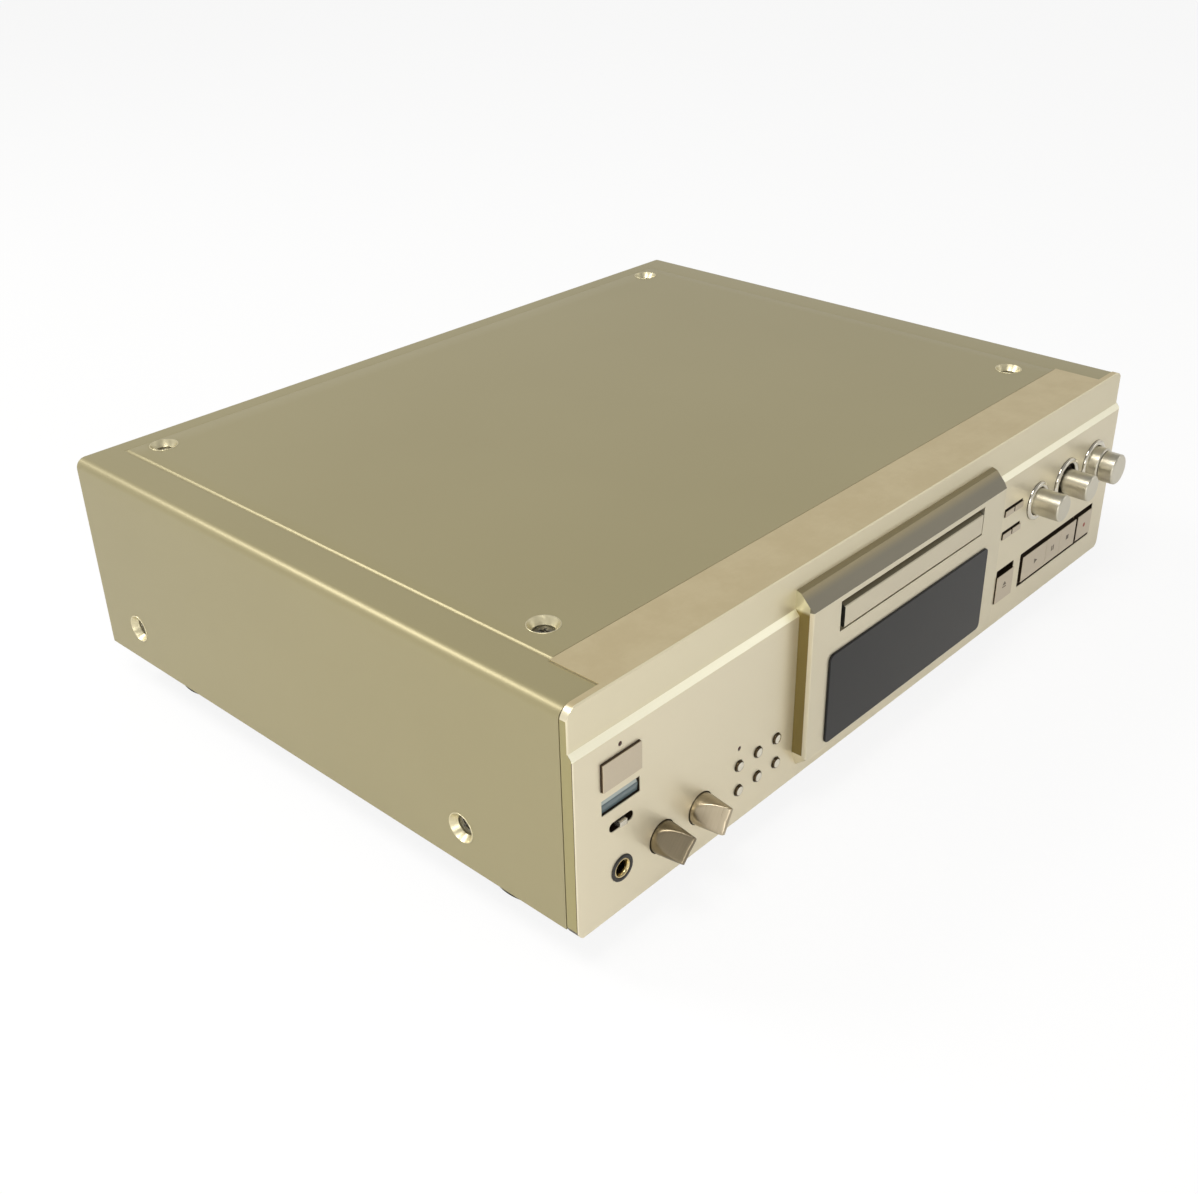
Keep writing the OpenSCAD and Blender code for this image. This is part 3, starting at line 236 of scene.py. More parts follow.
soft_lamp("key_lamp", (-0.80, 1.18, 1.40), (0, 0, 0.05), 0.6, 0.6, 15)
soft_lamp("over_lamp", (-0.70, -0.22, 1.55), (0, 0, 0.05), 0.6, 0.6, 11.5)
soft_lamp("front_lamp", (1.35, -1.30, 0.90), (0, -0.15, 0.08), 0.8, 0.3, 0.85)
soft_lamp("side_lamp", (-0.66, -0.70, 0.25), (-0.2, -0.16, 0.05), 0.35, 0.3, 1.4)

# ---------------------------------------------------------------------------------------------
# Wrap cover: one steel sheet 1.6 mm thick, bent down at both sides and sprayed olive champagne
# with fine metal flake. Its top carries a pressed field 0.7 mm high between two flat side strips.
deck_y, deck_z = -159.65, 17.0
half_width = 215.0
cover_top = 104.9
cover_front, cover_rear = 6.0, 328.7
cover_skirt, cover_bend, cover_steel = 3.5, 5.0, 1.6
field_half, field_slope, field_rise = 193.5, 1.3, 0.7
field_front, field_rear = 30.5, 319.2
groove_depth, groove_width, groove_offset = 0.12, 0.22, 0.3
notch_half = 194.75
cup_places = [(x, y) for x in (-178.0, 178.0) for y in (49.5, 310.0)]
side_cup_places = [(side, y) for side in (-1, 1) for y in (63.8, 299.5)]
side_cup_height = 22.0
cup_radius = 7.0


def in_row(points):
    """Millimetres from the front panel's lower edge, turned into metres of the row frame."""
    return (np.asarray(points, float) + (0.0, deck_y, deck_z)) * 0.001


def grid_quads(rows, columns, round_columns=False):
    """The quads of a grid numbered row by row; round columns join the last one to the first."""
    row = np.arange(rows - 1)[:, None]
    column = np.arange(columns if round_columns else columns - 1)[None, :]
    next_row, next_column = row + 1, (column + 1) % columns
    corners = (row * columns + column, row * columns + next_column,
               next_row * columns + next_column, next_row * columns + column)
    return np.stack(corners, axis=-1).reshape(-1, 4)


def eased(share):
    """0 to 1 with level ends: 3 s^2 - 2 s^3."""
    share = np.clip(share, 0.0, 1.0)
    return share * share * (3.0 - 2.0 * share)


def shell_object(name, surfaces, finish, body, *nodes, sharp=32.0, outward=True):
    """One piece from surfaces of (points in mm, quads), merged, facing out, and riding on a body."""
    points = np.concatenate([surface[0].reshape(-1, 3) for surface in surfaces])
    starts = np.cumsum([0] + [surface[0].size // 3 for surface in surfaces])
    quads = np.concatenate([surface[1] + start for surface, start in zip(surfaces, starts)])
    mesh = bpy.data.meshes.new(name)
    mesh.from_pydata(in_row(points).tolist(), [], quads.tolist())
    return finished(name, mesh, finish, body, *nodes, sharp=sharp, outward=outward)


def finished(name, mesh, finish, body, *nodes, sharp=32.0, outward=True):
    """Merges a mesh's doubles, turns its faces out, smooths it up to the sharp angle, and rides it."""
    work = bmesh.new()
    work.from_mesh(mesh)
    bmesh.ops.remove_doubles(work, verts=work.verts, dist=2e-6)
    bmesh.ops.dissolve_degenerate(work, edges=work.edges, dist=1e-7)
    if outward:
        bmesh.ops.recalc_face_normals(work, faces=work.faces)
    for face in work.faces:
        face.smooth = True
    work.to_mesh(mesh)
    work.free()
    mesh.set_sharp_from_angle(angle=radians(sharp))
    made = bpy.data.objects.new(name, mesh)
    scene.collection.objects.link(made)
    mesh.materials.clear()
    mesh.materials.append(finish)
    if body:
        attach(made, body)
    if nodes:
        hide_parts(*nodes)
    return made


def turned(profile, segments=64):
    """A profile of (radius, height) turned round the z axis: x = r cos a, y = r sin a, z = height."""
    profile = np.asarray(profile, float)
    angle = np.arange(segments) * 2 * pi / segments
    radius, height = profile[:, 0][:, None], profile[:, 1][:, None]
    points = np.stack([radius * np.cos(angle), radius * np.sin(angle), height + 0 * angle], axis=-1)
    return points, grid_quads(len(profile), segments, round_columns=True)


def stood(surface, place, along=(0, 0, 1), spin=0.0):
    """A surface with its z axis laid along a direction and its origin moved to a place."""
    points, quads = surface
    base = Vector((0, 0, 1)).rotation_difference(Vector(along)).to_matrix()
    rotation = np.array(base @ Matrix.Rotation(spin, 3, "Z"))
    return points @ rotation.T + np.asarray(place, float), quads


def with_modifiers(piece):
    """Gives a piece the mesh that its modifiers make, and drops them."""
    shown = piece.evaluated_get(bpy.context.evaluated_depsgraph_get())
    made = bpy.data.meshes.new_from_object(shown)
    old, piece.data = piece.data, made
    piece.modifiers.clear()
    bpy.data.meshes.remove(old)


bend = np.radians(np.linspace(0, 90, 9))
side_heights = np.linspace(cover_skirt, cover_top - cover_bend, 12)[:-1]
slope_steps = np.linspace(0, field_slope, 6)
groove_steps = np.linspace(1.0, 0.1, 7)
field_steps = np.linspace(185, 0, 20)
top_half = np.concatenate([[notch_half], field_half + groove_steps, field_half - slope_steps,
                           field_steps])
left_path = np.concatenate([
    np.stack([np.full(len(side_heights), -half_width), side_heights], axis=-1),
    np.stack([-half_width + cover_bend * (1 - np.cos(bend)),
              cover_top - cover_bend * (1 - np.sin(bend))], axis=-1),
    np.stack([-top_half, np.full(len(top_half), cover_top)], axis=-1)])
cover_path = np.concatenate([left_path, left_path[-2::-1] * (-1, 1)])
front_rows, field_rows = np.linspace(12, 24, 3), np.linspace(42, 306, 24)
cover_rows = np.concatenate([[cover_front], front_rows, [field_front], field_rows,
                             field_rear - slope_steps[::-1], field_rear + groove_steps[::-1],
                             [cover_rear]])
across, back = cover_path[:, 0][None, :], cover_rows[:, None]
raised = (eased((field_half - np.abs(across)) / field_slope) * eased((field_rear - back) / field_slope)
          * (back >= field_front) * (cover_path[:, 1] >= cover_top)[None, :])
beside = np.maximum(np.abs(across) - field_half, back - field_rear) - groove_offset
groove = (np.exp(-(beside / groove_width) ** 2)
          * (back >= field_front) * (cover_path[:, 1] >= cover_top)[None, :])
cover_points = np.stack([across + 0 * back, back + 0 * across,
                         cover_path[:, 1][None, :] + field_rise * raised - groove_depth * groove], axis=-1)
cover_quads = grid_quads(len(cover_rows), len(cover_path))
centres = cover_points.reshape(-1, 3)[cover_quads].mean(axis=1)
in_notch = ((np.abs(centres[:, 0]) < notch_half) & (centres[:, 1] < field_front)
            & (centres[:, 2] > cover_top - cover_bend))

olive = Finish("cover_paint", metallic=0.35, roughness=0.42)
flake = olive.noise(olive.place(), 2600, 1.0)
cloud = olive.noise(olive.place(), 9, 3.0)
olive_light, olive_deep = paint(164, 155, 118), paint(153, 144, 107)
olive_mix = olive.blend(cloud * 0.5 + flake * 0.5, olive_deep, olive_light)
olive.set(base_color=olive_mix, roughness=0.34 + flake * 0.12,
          normal=olive.bump(flake, 0.08, 0.00004))

cover = shell_object("cover_sheet", [(cover_points, cover_quads[~in_notch])], olive.owner, None,
                     sharp=50)
sheet = cover.modifiers.new("steel", "SOLIDIFY")
sheet.thickness, sheet.offset, sheet.use_even_offset = cover_steel * 0.001, -1, True
hole_radius, hole_half = cup_radius + 0.02, 9
hole_profile = [(0, -hole_half), (hole_radius, -hole_half), (hole_radius, hole_half), (0, hole_half)]
punches = [stood(turned(hole_profile, 64), (x, y, cover_top)) for x, y in cup_places]
punches += [stood(turned(hole_profile, 64), (side * half_width, y, side_cup_height), (side, 0, 0))
            for side, y in side_cup_places]
punch = shell_object("punch", punches, olive.owner, None)
holes = cover.modifiers.new("holes", "BOOLEAN")
holes.operation, holes.object, holes.solver = "DIFFERENCE", punch, "EXACT"
with_modifiers(cover)
bpy.data.objects.remove(punch)
cover.data.set_sharp_from_angle(angle=radians(50))
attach(cover, "case")
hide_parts("wrap_cover")

# ---------------------------------------------------------------------------------------------
# Cover bolts: eight steel bolts with crossed slots, each sunk in a turned cup washer that is
# anodised to match the cover.
cup_depth, cup_height, cup_rim = 4.8, 5.4, 0.25
bolt_radius, bolt_head, bolt_shank = 4.25, 1.9, 2.0
slot_length, slot_width, slot_depth = 5.2, 1.2, 0.9

cup_finish = Finish("cup_anodising", metallic=0.8, roughness=0.34)
cup_lathe = cup_finish.noise(cup_finish.place((900, 900, 900)), 1.0)
cup_finish.set(base_color=cup_finish.blend(cup_lathe, paint(205, 196, 160), paint(224, 216, 184)),
               roughness=0.28 + cup_lathe * 0.12)
cup_floor = cup_depth - bolt_head
cup_profile = [(bolt_shank + 0.05, -cup_height), (cup_radius, -cup_height), (cup_radius, 0.05),
               (cup_radius - 0.08, cup_rim - 0.06), (cup_radius - 0.22, cup_rim),
               (cup_radius - 0.42, cup_rim - 0.03), (cup_radius - 0.62, -0.12),
               (bolt_radius + 0.62, -cup_floor + 0.12), (bolt_radius + 0.5, -cup_floor),
               (bolt_radius + 0.5, -cup_depth), (bolt_shank + 0.05, -cup_depth),
               (bolt_shank + 0.05, -cup_height)]
cup_stands = [((x, y, cover_top + field_rise), (0, 0, 1)) for x, y in cup_places]
cup_stands += [((side * half_width, y, side_cup_height), (side, 0, 0)) for side, y in side_cup_places]
shell_object("cup_washers", [stood(turned(cup_profile), place, along) for place, along in cup_stands],
             cup_finish.owner, "case", "bolt_cups", sharp=40)


def crossed_head(radius, rim, height, crown, rings=30, segments=96):
    """A bolt head as a height over a disc: crowned by 1 - (r / R)^2, with a cross sunk into it."""
    ring = np.concatenate([np.linspace(0, radius - rim, rings), radius - rim * (1 - np.sin(bend))])
    angle = np.arange(segments) * 2 * pi / segments
    x, y = ring[:, None] * np.cos(angle), ring[:, None] * np.sin(angle)
    edge = rim * (1 - np.cos(np.concatenate([np.zeros(rings), bend])))[:, None]
    top = height + crown * (1 - (ring / radius) ** 2)[:, None] - edge + 0 * x

    def arm(a, b):
        """1 inside a slot along b and 0 beside it, with sloping walls and ends."""
        wall_slope, end_slope = 0.24, 0.5
        return (eased((slot_width / 2 + wall_slope / 2 - np.abs(a)) / wall_slope)
                * eased((slot_length / 2 - np.abs(b)) / end_slope))

    sunk = np.maximum(arm(x, y), arm(y, x))
    points = np.stack([x, y, top - slot_depth * sunk], axis=-1)
    wall = np.stack([radius * np.cos(angle), radius * np.sin(angle), 0 * angle], axis=-1)[None]
    floor = np.zeros((1, segments, 3))
    return np.concatenate([points, wall, floor]), grid_quads(len(points) + 2, segments, round_columns=True)


bolt_finish = Finish("bolt_plating", metallic=0.95, roughness=0.2)
bolt_finish.speckled((112, 109, 101), (138, 134, 125), 1400, rough=(0.14, 0.14))
head_crown, shank_low, shank_top = 0.25, -6.5, 0.2
head = crossed_head(bolt_radius, 0.5, bolt_head - head_crown, head_crown)
shank = turned([(0, shank_low), (bolt_shank, shank_low), (bolt_shank, shank_top), (0, shank_top)], 32)
first_spin, spin_step = 0.35, 0.9
bolts = []
for number, (place, along) in enumerate(cup_stands):
    seat = Vector(place) - cup_depth * Vector(along)
    bolts += [stood(head, seat, along, first_spin + spin_step * number), stood(shank, seat, along)]
shell_object("cover_bolt_set", bolts, bolt_finish.owner, "case", "cover_bolts", sharp=35)

# ---------------------------------------------------------------------------------------------
# Front panel: a champagne-anodised aluminium plate with a set-back band along its top and a lip
# that laps over the cover. Its openings are milled; their edges are broken, not rounded.


def softened(node, name, finish, body, width=0.25, segments=2):
    """A CAD node's solid as one merged piece, its flats dissolved and its edges rounded by width mm."""
    work = bmesh.new()
    work.from_mesh(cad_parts[node].data)
    bmesh.ops.remove_doubles(work, verts=work.verts, dist=2e-6)
    bmesh.ops.dissolve_limit(work, angle_limit=radians(0.6), verts=work.verts, edges=work.edges)
    mesh = bpy.data.meshes.new(name)
    work.to_mesh(mesh)
    work.free()
    for layer in [layer.name for layer in mesh.attributes if layer.name == "custom_normal"]:
        mesh.attributes.remove(mesh.attributes[layer])
    piece = finished(name, mesh, finish, None)
    edge = piece.modifiers.new("broken_edge", "BEVEL")
    edge.width, edge.segments, edge.limit_method = width * 0.001, segments, "ANGLE"
    edge.angle_limit = radians(28)
    edge.use_clamp_overlap = True
    edge.miter_outer = "MITER_ARC"
    with_modifiers(piece)
    for face in piece.data.polygons:
        face.use_smooth = True
    piece.data.set_sharp_from_angle(angle=radians(32))
    level = piece.modifiers.new("level_flats", "WEIGHTED_NORMAL")
    level.mode, level.weight, level.keep_sharp = "FACE_AREA", 100, True
    with_modifiers(piece)
    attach(piece, body)
    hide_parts(node)
    return piece


panel = Finish("panel_champagne", metallic=0.65, roughness=0.36)
height = panel.axis(2)
brush_scale = (14, 400, 1900)
brushed = panel.noise(panel.place(brush_scale), 1.0, 3.0, 0.6)
mottle = panel.noise(panel.place(), 55, 4.0, 0.65)
lip_level, band_level, ledge_level = 0.12215, 0.1041, 0.1014
on_lip = height > lip_level
on_band = (height > band_level) * (1 - on_lip)
# Painted highlight: the sloping ledge under the band is painted near white, as a glint on it.
ledge_highlight = (height > ledge_level) * (1 - (height > band_level))
lip_edge, end_face = -0.15695, 0.21485
# Painted highlight: a thin light cream line is painted along the lip's front edge.
lip_edge_highlight = on_lip * (panel.axis(1) < lip_edge)
shaded_end = abs(panel.axis(0)) > end_face
panel_face, panel_band, lip_reflection = paint(230, 221, 195), paint(228, 219, 190), paint(206, 190, 150)
lower = panel.blend(on_band, panel.blend(ledge_highlight, panel_face, paint(255, 251, 226)), panel_band)
# Painted reflection: the lip's top is painted a darker, pinker champagne than the face, mottled at random.
lip_tone = panel.blend(mottle.step(0.35, 0.7), lip_reflection, paint(212, 197, 158))
upper = panel.blend(lip_edge_highlight, panel.blend(on_lip, lower, lip_tone), paint(236, 227, 196))
# Painted shade: the walls inside the panel's openings are painted dark brown.
open_low, open_high, open_depth = 0.0186, 0.1012, 0.001 * deck_y + 0.00032
opening_shade = (panel.axis(1) > open_depth) * (height > open_low) * (height < open_high) * (1 - shaded_end)
upper = panel.blend(opening_shade, upper, paint(60, 48, 34))
# Painted shade: the plate's end faces are painted a darker olive than its front.
panel.set(base_color=panel.blend(shaded_end, upper, paint(164, 155, 110)),
          roughness=0.30 + brushed * 0.12 + on_lip * 0.08,
          normal=panel.bump(brushed, 0.06, 0.00005))
softened("front_panel", "panel_plate", panel.owner, "case")

# ---------------------------------------------------------------------------------------------
# Centre module: a champagne casting over the middle of the panel, with a slanted top edge, the
# tray opening and the display's window. It is screwed to the panel from behind.
module = Finish("bezel_champagne", metallic=0.65, roughness=0.34)
module_grain = module.noise(module.place(brush_scale), 1.0, 3.0, 0.6)
module_shade = module.noise(module.place(), 30, 2.0)
module_face = module.blend(module_shade, paint(220, 211, 186), paint(226, 218, 193))
side_face, facet_foot = 0.07946, 0.1047
side_shade, facet_shade = (0.1030, 0.1050), (0.1085, 0.1126)
# Painted reflection: the module's side ends are painted dark gold up to about the ledge's height and pale
# above it.
painted_side_reflection = module.blend(module.axis(2).step(*side_shade), paint(128, 113, 66), paint(198, 192, 162))
# Painted shade: the module's slanted top is painted a dark brown-grey that lightens toward its top.
painted_facet_shade = module.blend(module.axis(2).step(*facet_shade), paint(124, 119, 104), paint(150, 139, 108))
front_tone = module.blend(module.axis(2) > facet_foot, module_face, painted_facet_shade)
module.set(base_color=module.blend(abs(module.axis(0)) > side_face, front_tone, painted_side_reflection),
           roughness=0.28 + module_grain * 0.12, normal=module.bump(module_grain, 0.06, 0.00005))
softened("centre_bezel", "module_casting", module.owner, "case", width=0.3)

# ---------------------------------------------------------------------------------------------
# Display: a smoked acrylic window, nearly black, pressed into the module from the front. It
# stands a little proud of the module's face, and the glass tube behind it is on the front board.
window = Finish("window_acrylic", roughness=0.07)
window.shader.inputs["IOR"].default_value = 1.4
window.speckled((7, 7, 8), (12, 12, 13), 40, rough=(0.05, 0.05))
softened("display_window", "display_glass", window.owner, "case", width=0.5, segments=3)


def coated(node, finish):
    """Gives a carried-over CAD node a finish; its mesh stays as it is."""
    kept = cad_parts[node]
    kept.data.materials.clear()
    kept.data.materials.append(finish.owner)


tube = Finish("tube_glass", roughness=0.12)
tube.speckled((52, 60, 62), (66, 76, 78), 60)
coated("display_tube", tube)

# ---------------------------------------------------------------------------------------------
# Keys and buttons: keys held by flanges behind the panel, champagne on their front faces and painted dark
# brown on their sides as shade in the gaps round them; five carry small printed signs. Six round buttons
# are plated domes.


def face_painted(name, first, second, gap_shade, front_mm, metallic):
    """Paint on a key's front: the first 0.25 mm behind its front plane; further back, painted shade in dark
    brown.
    """
    finish = Finish(name, metallic=metallic, roughness=0.4)
    face = finish.speckled(first, second, 1500, rough=(0.34, 0.14), detail=1.0)
    edge = 0.001 * (front_mm + deck_y)
    behind = finish.axis(1).step(edge + 0.00028, edge + 0.00034)
    finish.set(base_color=finish.blend(behind, face, paint(*gap_shade)))
    return finish


# Painted shade: the third colour is the dark brown painted on the keys' sides for the gaps round them.
key_paint = face_painted("key_champagne", (203, 191, 169), (212, 200, 179), (58, 46, 34), -0.8, 0.55)
power_paint = face_painted("power_button_paint", (200, 188, 166), (208, 196, 174), (84, 68, 54), -1.3, 0.65)
for node in ("small_key_1", "small_key_2", "small_key_3", "small_key_4", "eject_key",
             "play_key", "pause_key", "stop_key", "record_key"):
    softened(node, node + "_cap", key_paint.owner, node, width=0.3, segments=3)
softened("power_button", "power_button_cap", power_paint.owner, "power_button", width=0.3,
                 segments=3)

sign_ink = Finish("sign_ink", roughness=0.5)
sign_ink.speckled((92, 80, 66), (112, 98, 80), 700)
record_ink = Finish("record_ink", roughness=0.5)
record_ink.speckled((150, 66, 52), (172, 84, 66), 700)
key_face, sign_height, sign_sink = -0.8, 0.06, 0.05


def sign(name, corners, middle, finish, body):
    """A printed sign: an outline in x and z around its middle, raised a little from a key's face."""
    outline = np.array([(middle[0] + x, 0, middle[1] + z) for x, z in corners], float)
    count = len(outline)
    back, front = outline + (0, key_face + sign_sink, 0), outline + (0, key_face - sign_height, 0)
    mesh = bpy.data.meshes.new(name)
    sides = [(i, (i + 1) % count, (i + 1) % count + count, i + count) for i in range(count)]
    mesh.from_pydata(in_row(np.concatenate([back, front])).tolist(), [],
                     [tuple(range(count)), tuple(range(count, 2 * count))] + sides)
    finished(name, mesh, finish, body)


def bar(width, height, shift=0.0):
    """The corners of a rectangle, shifted sideways from a sign's middle."""
    return [(shift - width / 2, -height / 2), (shift + width / 2, -height / 2),
            (shift + width / 2, height / 2), (shift - width / 2, height / 2)]


triangle = [(-1.6, -1.5), (1.6, 0), (-1.6, 1.5)]
disc = [(1.2 * cos(a), 1.2 * sin(a)) for a in np.linspace(0, 2 * pi, 25)[:-1]]
sign_level = 23.2
sign("play_sign", triangle, (136.0, sign_level), sign_ink.owner, "play_key")
for number, shift in enumerate((-0.9, 0.9)):
    sign(f"pause_sign_{number + 1}", bar(0.9, 3.0, shift), (154.6, sign_level), sign_ink.owner, "pause_key")
sign("stop_sign", bar(2.6, 2.6), (171.4, sign_level), sign_ink.owner, "stop_key")
sign("record_sign", disc, (190.9, sign_level), record_ink.owner, "record_key")
sign("eject_sign", [(-1.8, -0.3), (1.8, -0.3), (0, 1.8)], (103.1, 22.6), sign_ink.owner, "eject_key")
sign("eject_bar", bar(3.6, 0.6), (103.1, 21.2), sign_ink.owner, "eject_key")

button_steel = Finish("polished", metallic=1.0, roughness=0.16)
button_marks = button_steel.noise(button_steel.place(), 500, 2.0)
button_bright = button_steel.blend(button_marks, paint(222, 216, 200), paint(236, 231, 217))
# Painted shade: each dome's edge and side, behind its front, are painted dark brown for the gap round it.
rim_top, rim_foot = 1.18, 0.98
rim_shade = button_steel.axis(1).step(0.001 * (deck_y - rim_top), 0.001 * (deck_y - rim_foot))
button_steel.set(base_color=button_steel.blend(rim_shade, button_bright, paint(78, 67, 50)),
                 roughness=0.12 + button_marks * 0.1)
button_radius, button_crown, button_rim = 2.5, 1.4, 0.6
flange_radius, flange_front, flange_back, stem_radius, stem_back = 3.5, -5.8, -6.6, 1.2, -6.85
dome = np.linspace(0, 1, 9)
button_profile = np.concatenate([
    np.stack([button_radius * np.sin(dome * pi / 2),
              button_rim + (button_crown - button_rim) * np.cos(dome * pi / 2)], axis=-1),
    [(button_radius, flange_front), (flange_radius, flange_front), (flange_radius, flange_back),
     (stem_radius, flange_back), (stem_radius, stem_back), (0, stem_back)]])
round_columns = [-117.3 + 12.95 * column for column in range(3)]
round_places = [(x, z) for z in (29.4, 16.8) for x in round_columns]
for number, (x, z) in enumerate(round_places, start=1):
    surface = stood(turned(button_profile, 48), (x, 0, z), (0, -1, 0))
    button = shell_object(f"round_button_{number}_cap", [surface], button_steel.owner,
                          f"round_button_{number}", f"round_button_{number}")

# ---------------------------------------------------------------------------------------------
# Dials: three solid turned knobs, the third in two parts on one shaft, each inside a polished
# bead ring that is pressed into the panel.
dial_metal = Finish("knob_champagne", metallic=1.0, roughness=0.26)
lathe_lines = dial_metal.noise(dial_metal.place((60, 3000, 60)), 1.0, 2.0, 0.6)
dial_metal.set(base_color=dial_metal.blend(lathe_lines, paint(204, 199, 182), paint(218, 213, 197)),
               roughness=0.26 + lathe_lines * 0.12, normal=dial_metal.bump(lathe_lines, 0.2, 0.00004))
dial_height = 60.5
dial_columns = (129.0, 160.0, 191.0)
shaft_radius, shaft_back = 3.0, 9.55


def rounded_end(radius, end, chamfer, dish=0.0):
    """Profile points of a turned knob's end: a face dished in its middle, then a broken edge."""
    face = radius - chamfer - 0.3
    return [(0, end - dish), (face * 0.7, end - dish * 0.8), (face, end), (face + 0.2, end - 0.03),
            (face + 0.3, end - 0.1), (radius - 0.14, end - chamfer + 0.05),
            (radius - 0.04, end - chamfer - 0.1), (radius, end - chamfer - 0.35)]


def knob(name, node, x, radius, length, back, stem, stem_back, bore=None):
    """A turned knob on the panel's face, with its shaft behind; a bore goes right through it."""
    profile = rounded_end(radius, length, 0.55) + [(radius, back), (stem, back), (stem, -stem_back)]
    profile += [(bore or 0, -stem_back)]
    if bore:
        profile = [(bore, length - 0.3)] + [(max(r, bore), h) for r, h in profile]
    surface = stood(turned(profile, 96), (x, 0, dial_height), (0, -1, 0))
    made = shell_object(name, [surface], dial_metal.owner, node, node)


knob("dial_1_knob", "dial_1", dial_columns[0], 7.1, 15.2, -2, shaft_radius, shaft_back)
knob("dial_2_knob", "dial_2", dial_columns[1], 7.0, 15.2, -2, shaft_radius, shaft_back)
knob("twin_front_knob", "twin_dial_front", dial_columns[2], 8.3, 15.0, 6.95, 1.4, shaft_back)
knob("twin_rear_knob", "twin_dial_rear", dial_columns[2], 9.4, 6.65, -2, shaft_radius, shaft_back - 2,
     bore=1.45)

ring_metal = Finish("ring_polish", metallic=1.0, roughness=0.09)
ring_haze = ring_metal.noise(ring_metal.place(), 700, 2.0)
# Painted shadow: the foot of each bead ring, where it meets the panel, is painted near black.
ring_root, root_blur = 0.001 * deck_y - 0.00022, 0.00008
ring_foot_shadow = ring_metal.axis(1).step(ring_root - root_blur, ring_root + root_blur)
ring_bright = ring_metal.blend(ring_haze, paint(214, 208, 192), paint(230, 225, 211))
ring_metal.set(base_color=ring_metal.blend(ring_foot_shadow, ring_bright, paint(40, 34, 24)),
               roughness=0.06 + ring_haze * 0.08)
bead = np.linspace(0, pi, 13)
bead_width, bead_seat = 3.1, 1.6
rings = []
for x, outer in zip(dial_columns, (10.4, 12.7, 12.7)):
    middle, half = outer - bead_width / 2, bead_width / 2
    profile = [(middle + half * cos(a), half * sin(a)) for a in bead]
    profile = [(outer, -bead_seat)] + profile + [(outer - bead_width, -bead_seat), (outer, -bead_seat)]
    rings.append(stood(turned(profile, 96), (x, 0, dial_height), (0, -1, 0)))
shell_object("bead_rings", rings, ring_metal.owner, "case", "dial_rings")

# ---------------------------------------------------------------------------------------------
# Blade knobs: two small turned knobs, milled on both sides down to a narrow blade at the front,
# each standing in a shallow turned recess.
blade_radius, blade_tip_radius, blade_length, blade_half = 7.1, 5.8, 14.0, 1.0
blade_root = 2.0
step_share = np.concatenate([[0, 0.004, 0.012, 0.022, 0.035], np.linspace(0.06, 1, 26)])
blade_heights = blade_length - (blade_length - blade_root) * step_share
turn_step = np.arange(160) * 2 * pi / 160
blade_angle = turn_step + 0.42 * np.sin(2 * turn_step)


def blade_surface():
    """A cone r(h) cut by two planes w(h) from its axis: radius = soft minimum of r and w / |cos a|."""
    share = (blade_heights - blade_root) / (blade_length - blade_root)
    round_radius = blade_radius + (blade_tip_radius - blade_radius) * share
    flat = blade_radius + (blade_half - blade_radius) * share
    softness, end_height, end_round = 0.12, 0.16, 0.3
    ends = np.exp(-(blade_length - blade_heights) / end_height)[:, None] * end_round
    plane = flat[:, None] / np.maximum(np.abs(np.cos(blade_angle)), 1e-3)
    cone = round_radius[:, None] + 0 * plane
    least = np.minimum(plane, cone)
    radius = least - softness * np.log(np.exp(-(plane - least) / softness)
                                       + np.exp(-(cone - least) / softness)) - ends
    back = [(blade_radius, h) for h in (1.4, 0.4, -0.5)]
    back += [(shaft_radius, -0.5), (shaft_radius, -shaft_back), (0, -shaft_back)]
    ring_radius = np.array([r for r, _ in back])[:, None] + 0 * blade_angle
    ring_height = np.array([h for _, h in back])
    tip = np.zeros((1, len(blade_angle)))
    radius = np.concatenate([tip, radius, ring_radius])
    heights = np.concatenate([[blade_length], blade_heights, ring_height])[:, None]
    points = np.stack([radius * np.cos(blade_angle), radius * np.sin(blade_angle),
                       heights + 0 * radius], axis=-1)
    return points, grid_quads(len(points), len(blade_angle), round_columns=True)


blade_metal = Finish("blade_champagne", metallic=1.0, roughness=0.3)
blade_lines = blade_metal.noise(blade_metal.place((60, 2200, 60)), 1.0, 2.0, 0.6)
# Painted shade: both blade knobs are painted darker than the dials' metal, and the first knob darker still.
first_blade_shade = blade_metal.blend(blade_lines, paint(126, 115, 95), paint(144, 133, 110))
second_blade_shade = blade_metal.blend(blade_lines, paint(170, 158, 135), paint(188, 176, 152))
between_blades = -0.154
on_second = blade_metal.axis(0) > between_blades
blade_metal.set(base_color=blade_metal.blend(on_second, first_blade_shade, second_blade_shade),
                roughness=0.24 + blade_lines * 0.12)
blade_places = {"level_knob": ((-166.0, 0, 22.0), 43), "input_knob": ((-142.1, 0, 22.0), 27)}
for node, (place, turn_degrees) in blade_places.items():
    surface = stood(blade_surface(), place, (0, -1, 0), -radians(turn_degrees))
    made = shell_object(node + "_blade", [surface], blade_metal.owner, node, node, sharp=40)

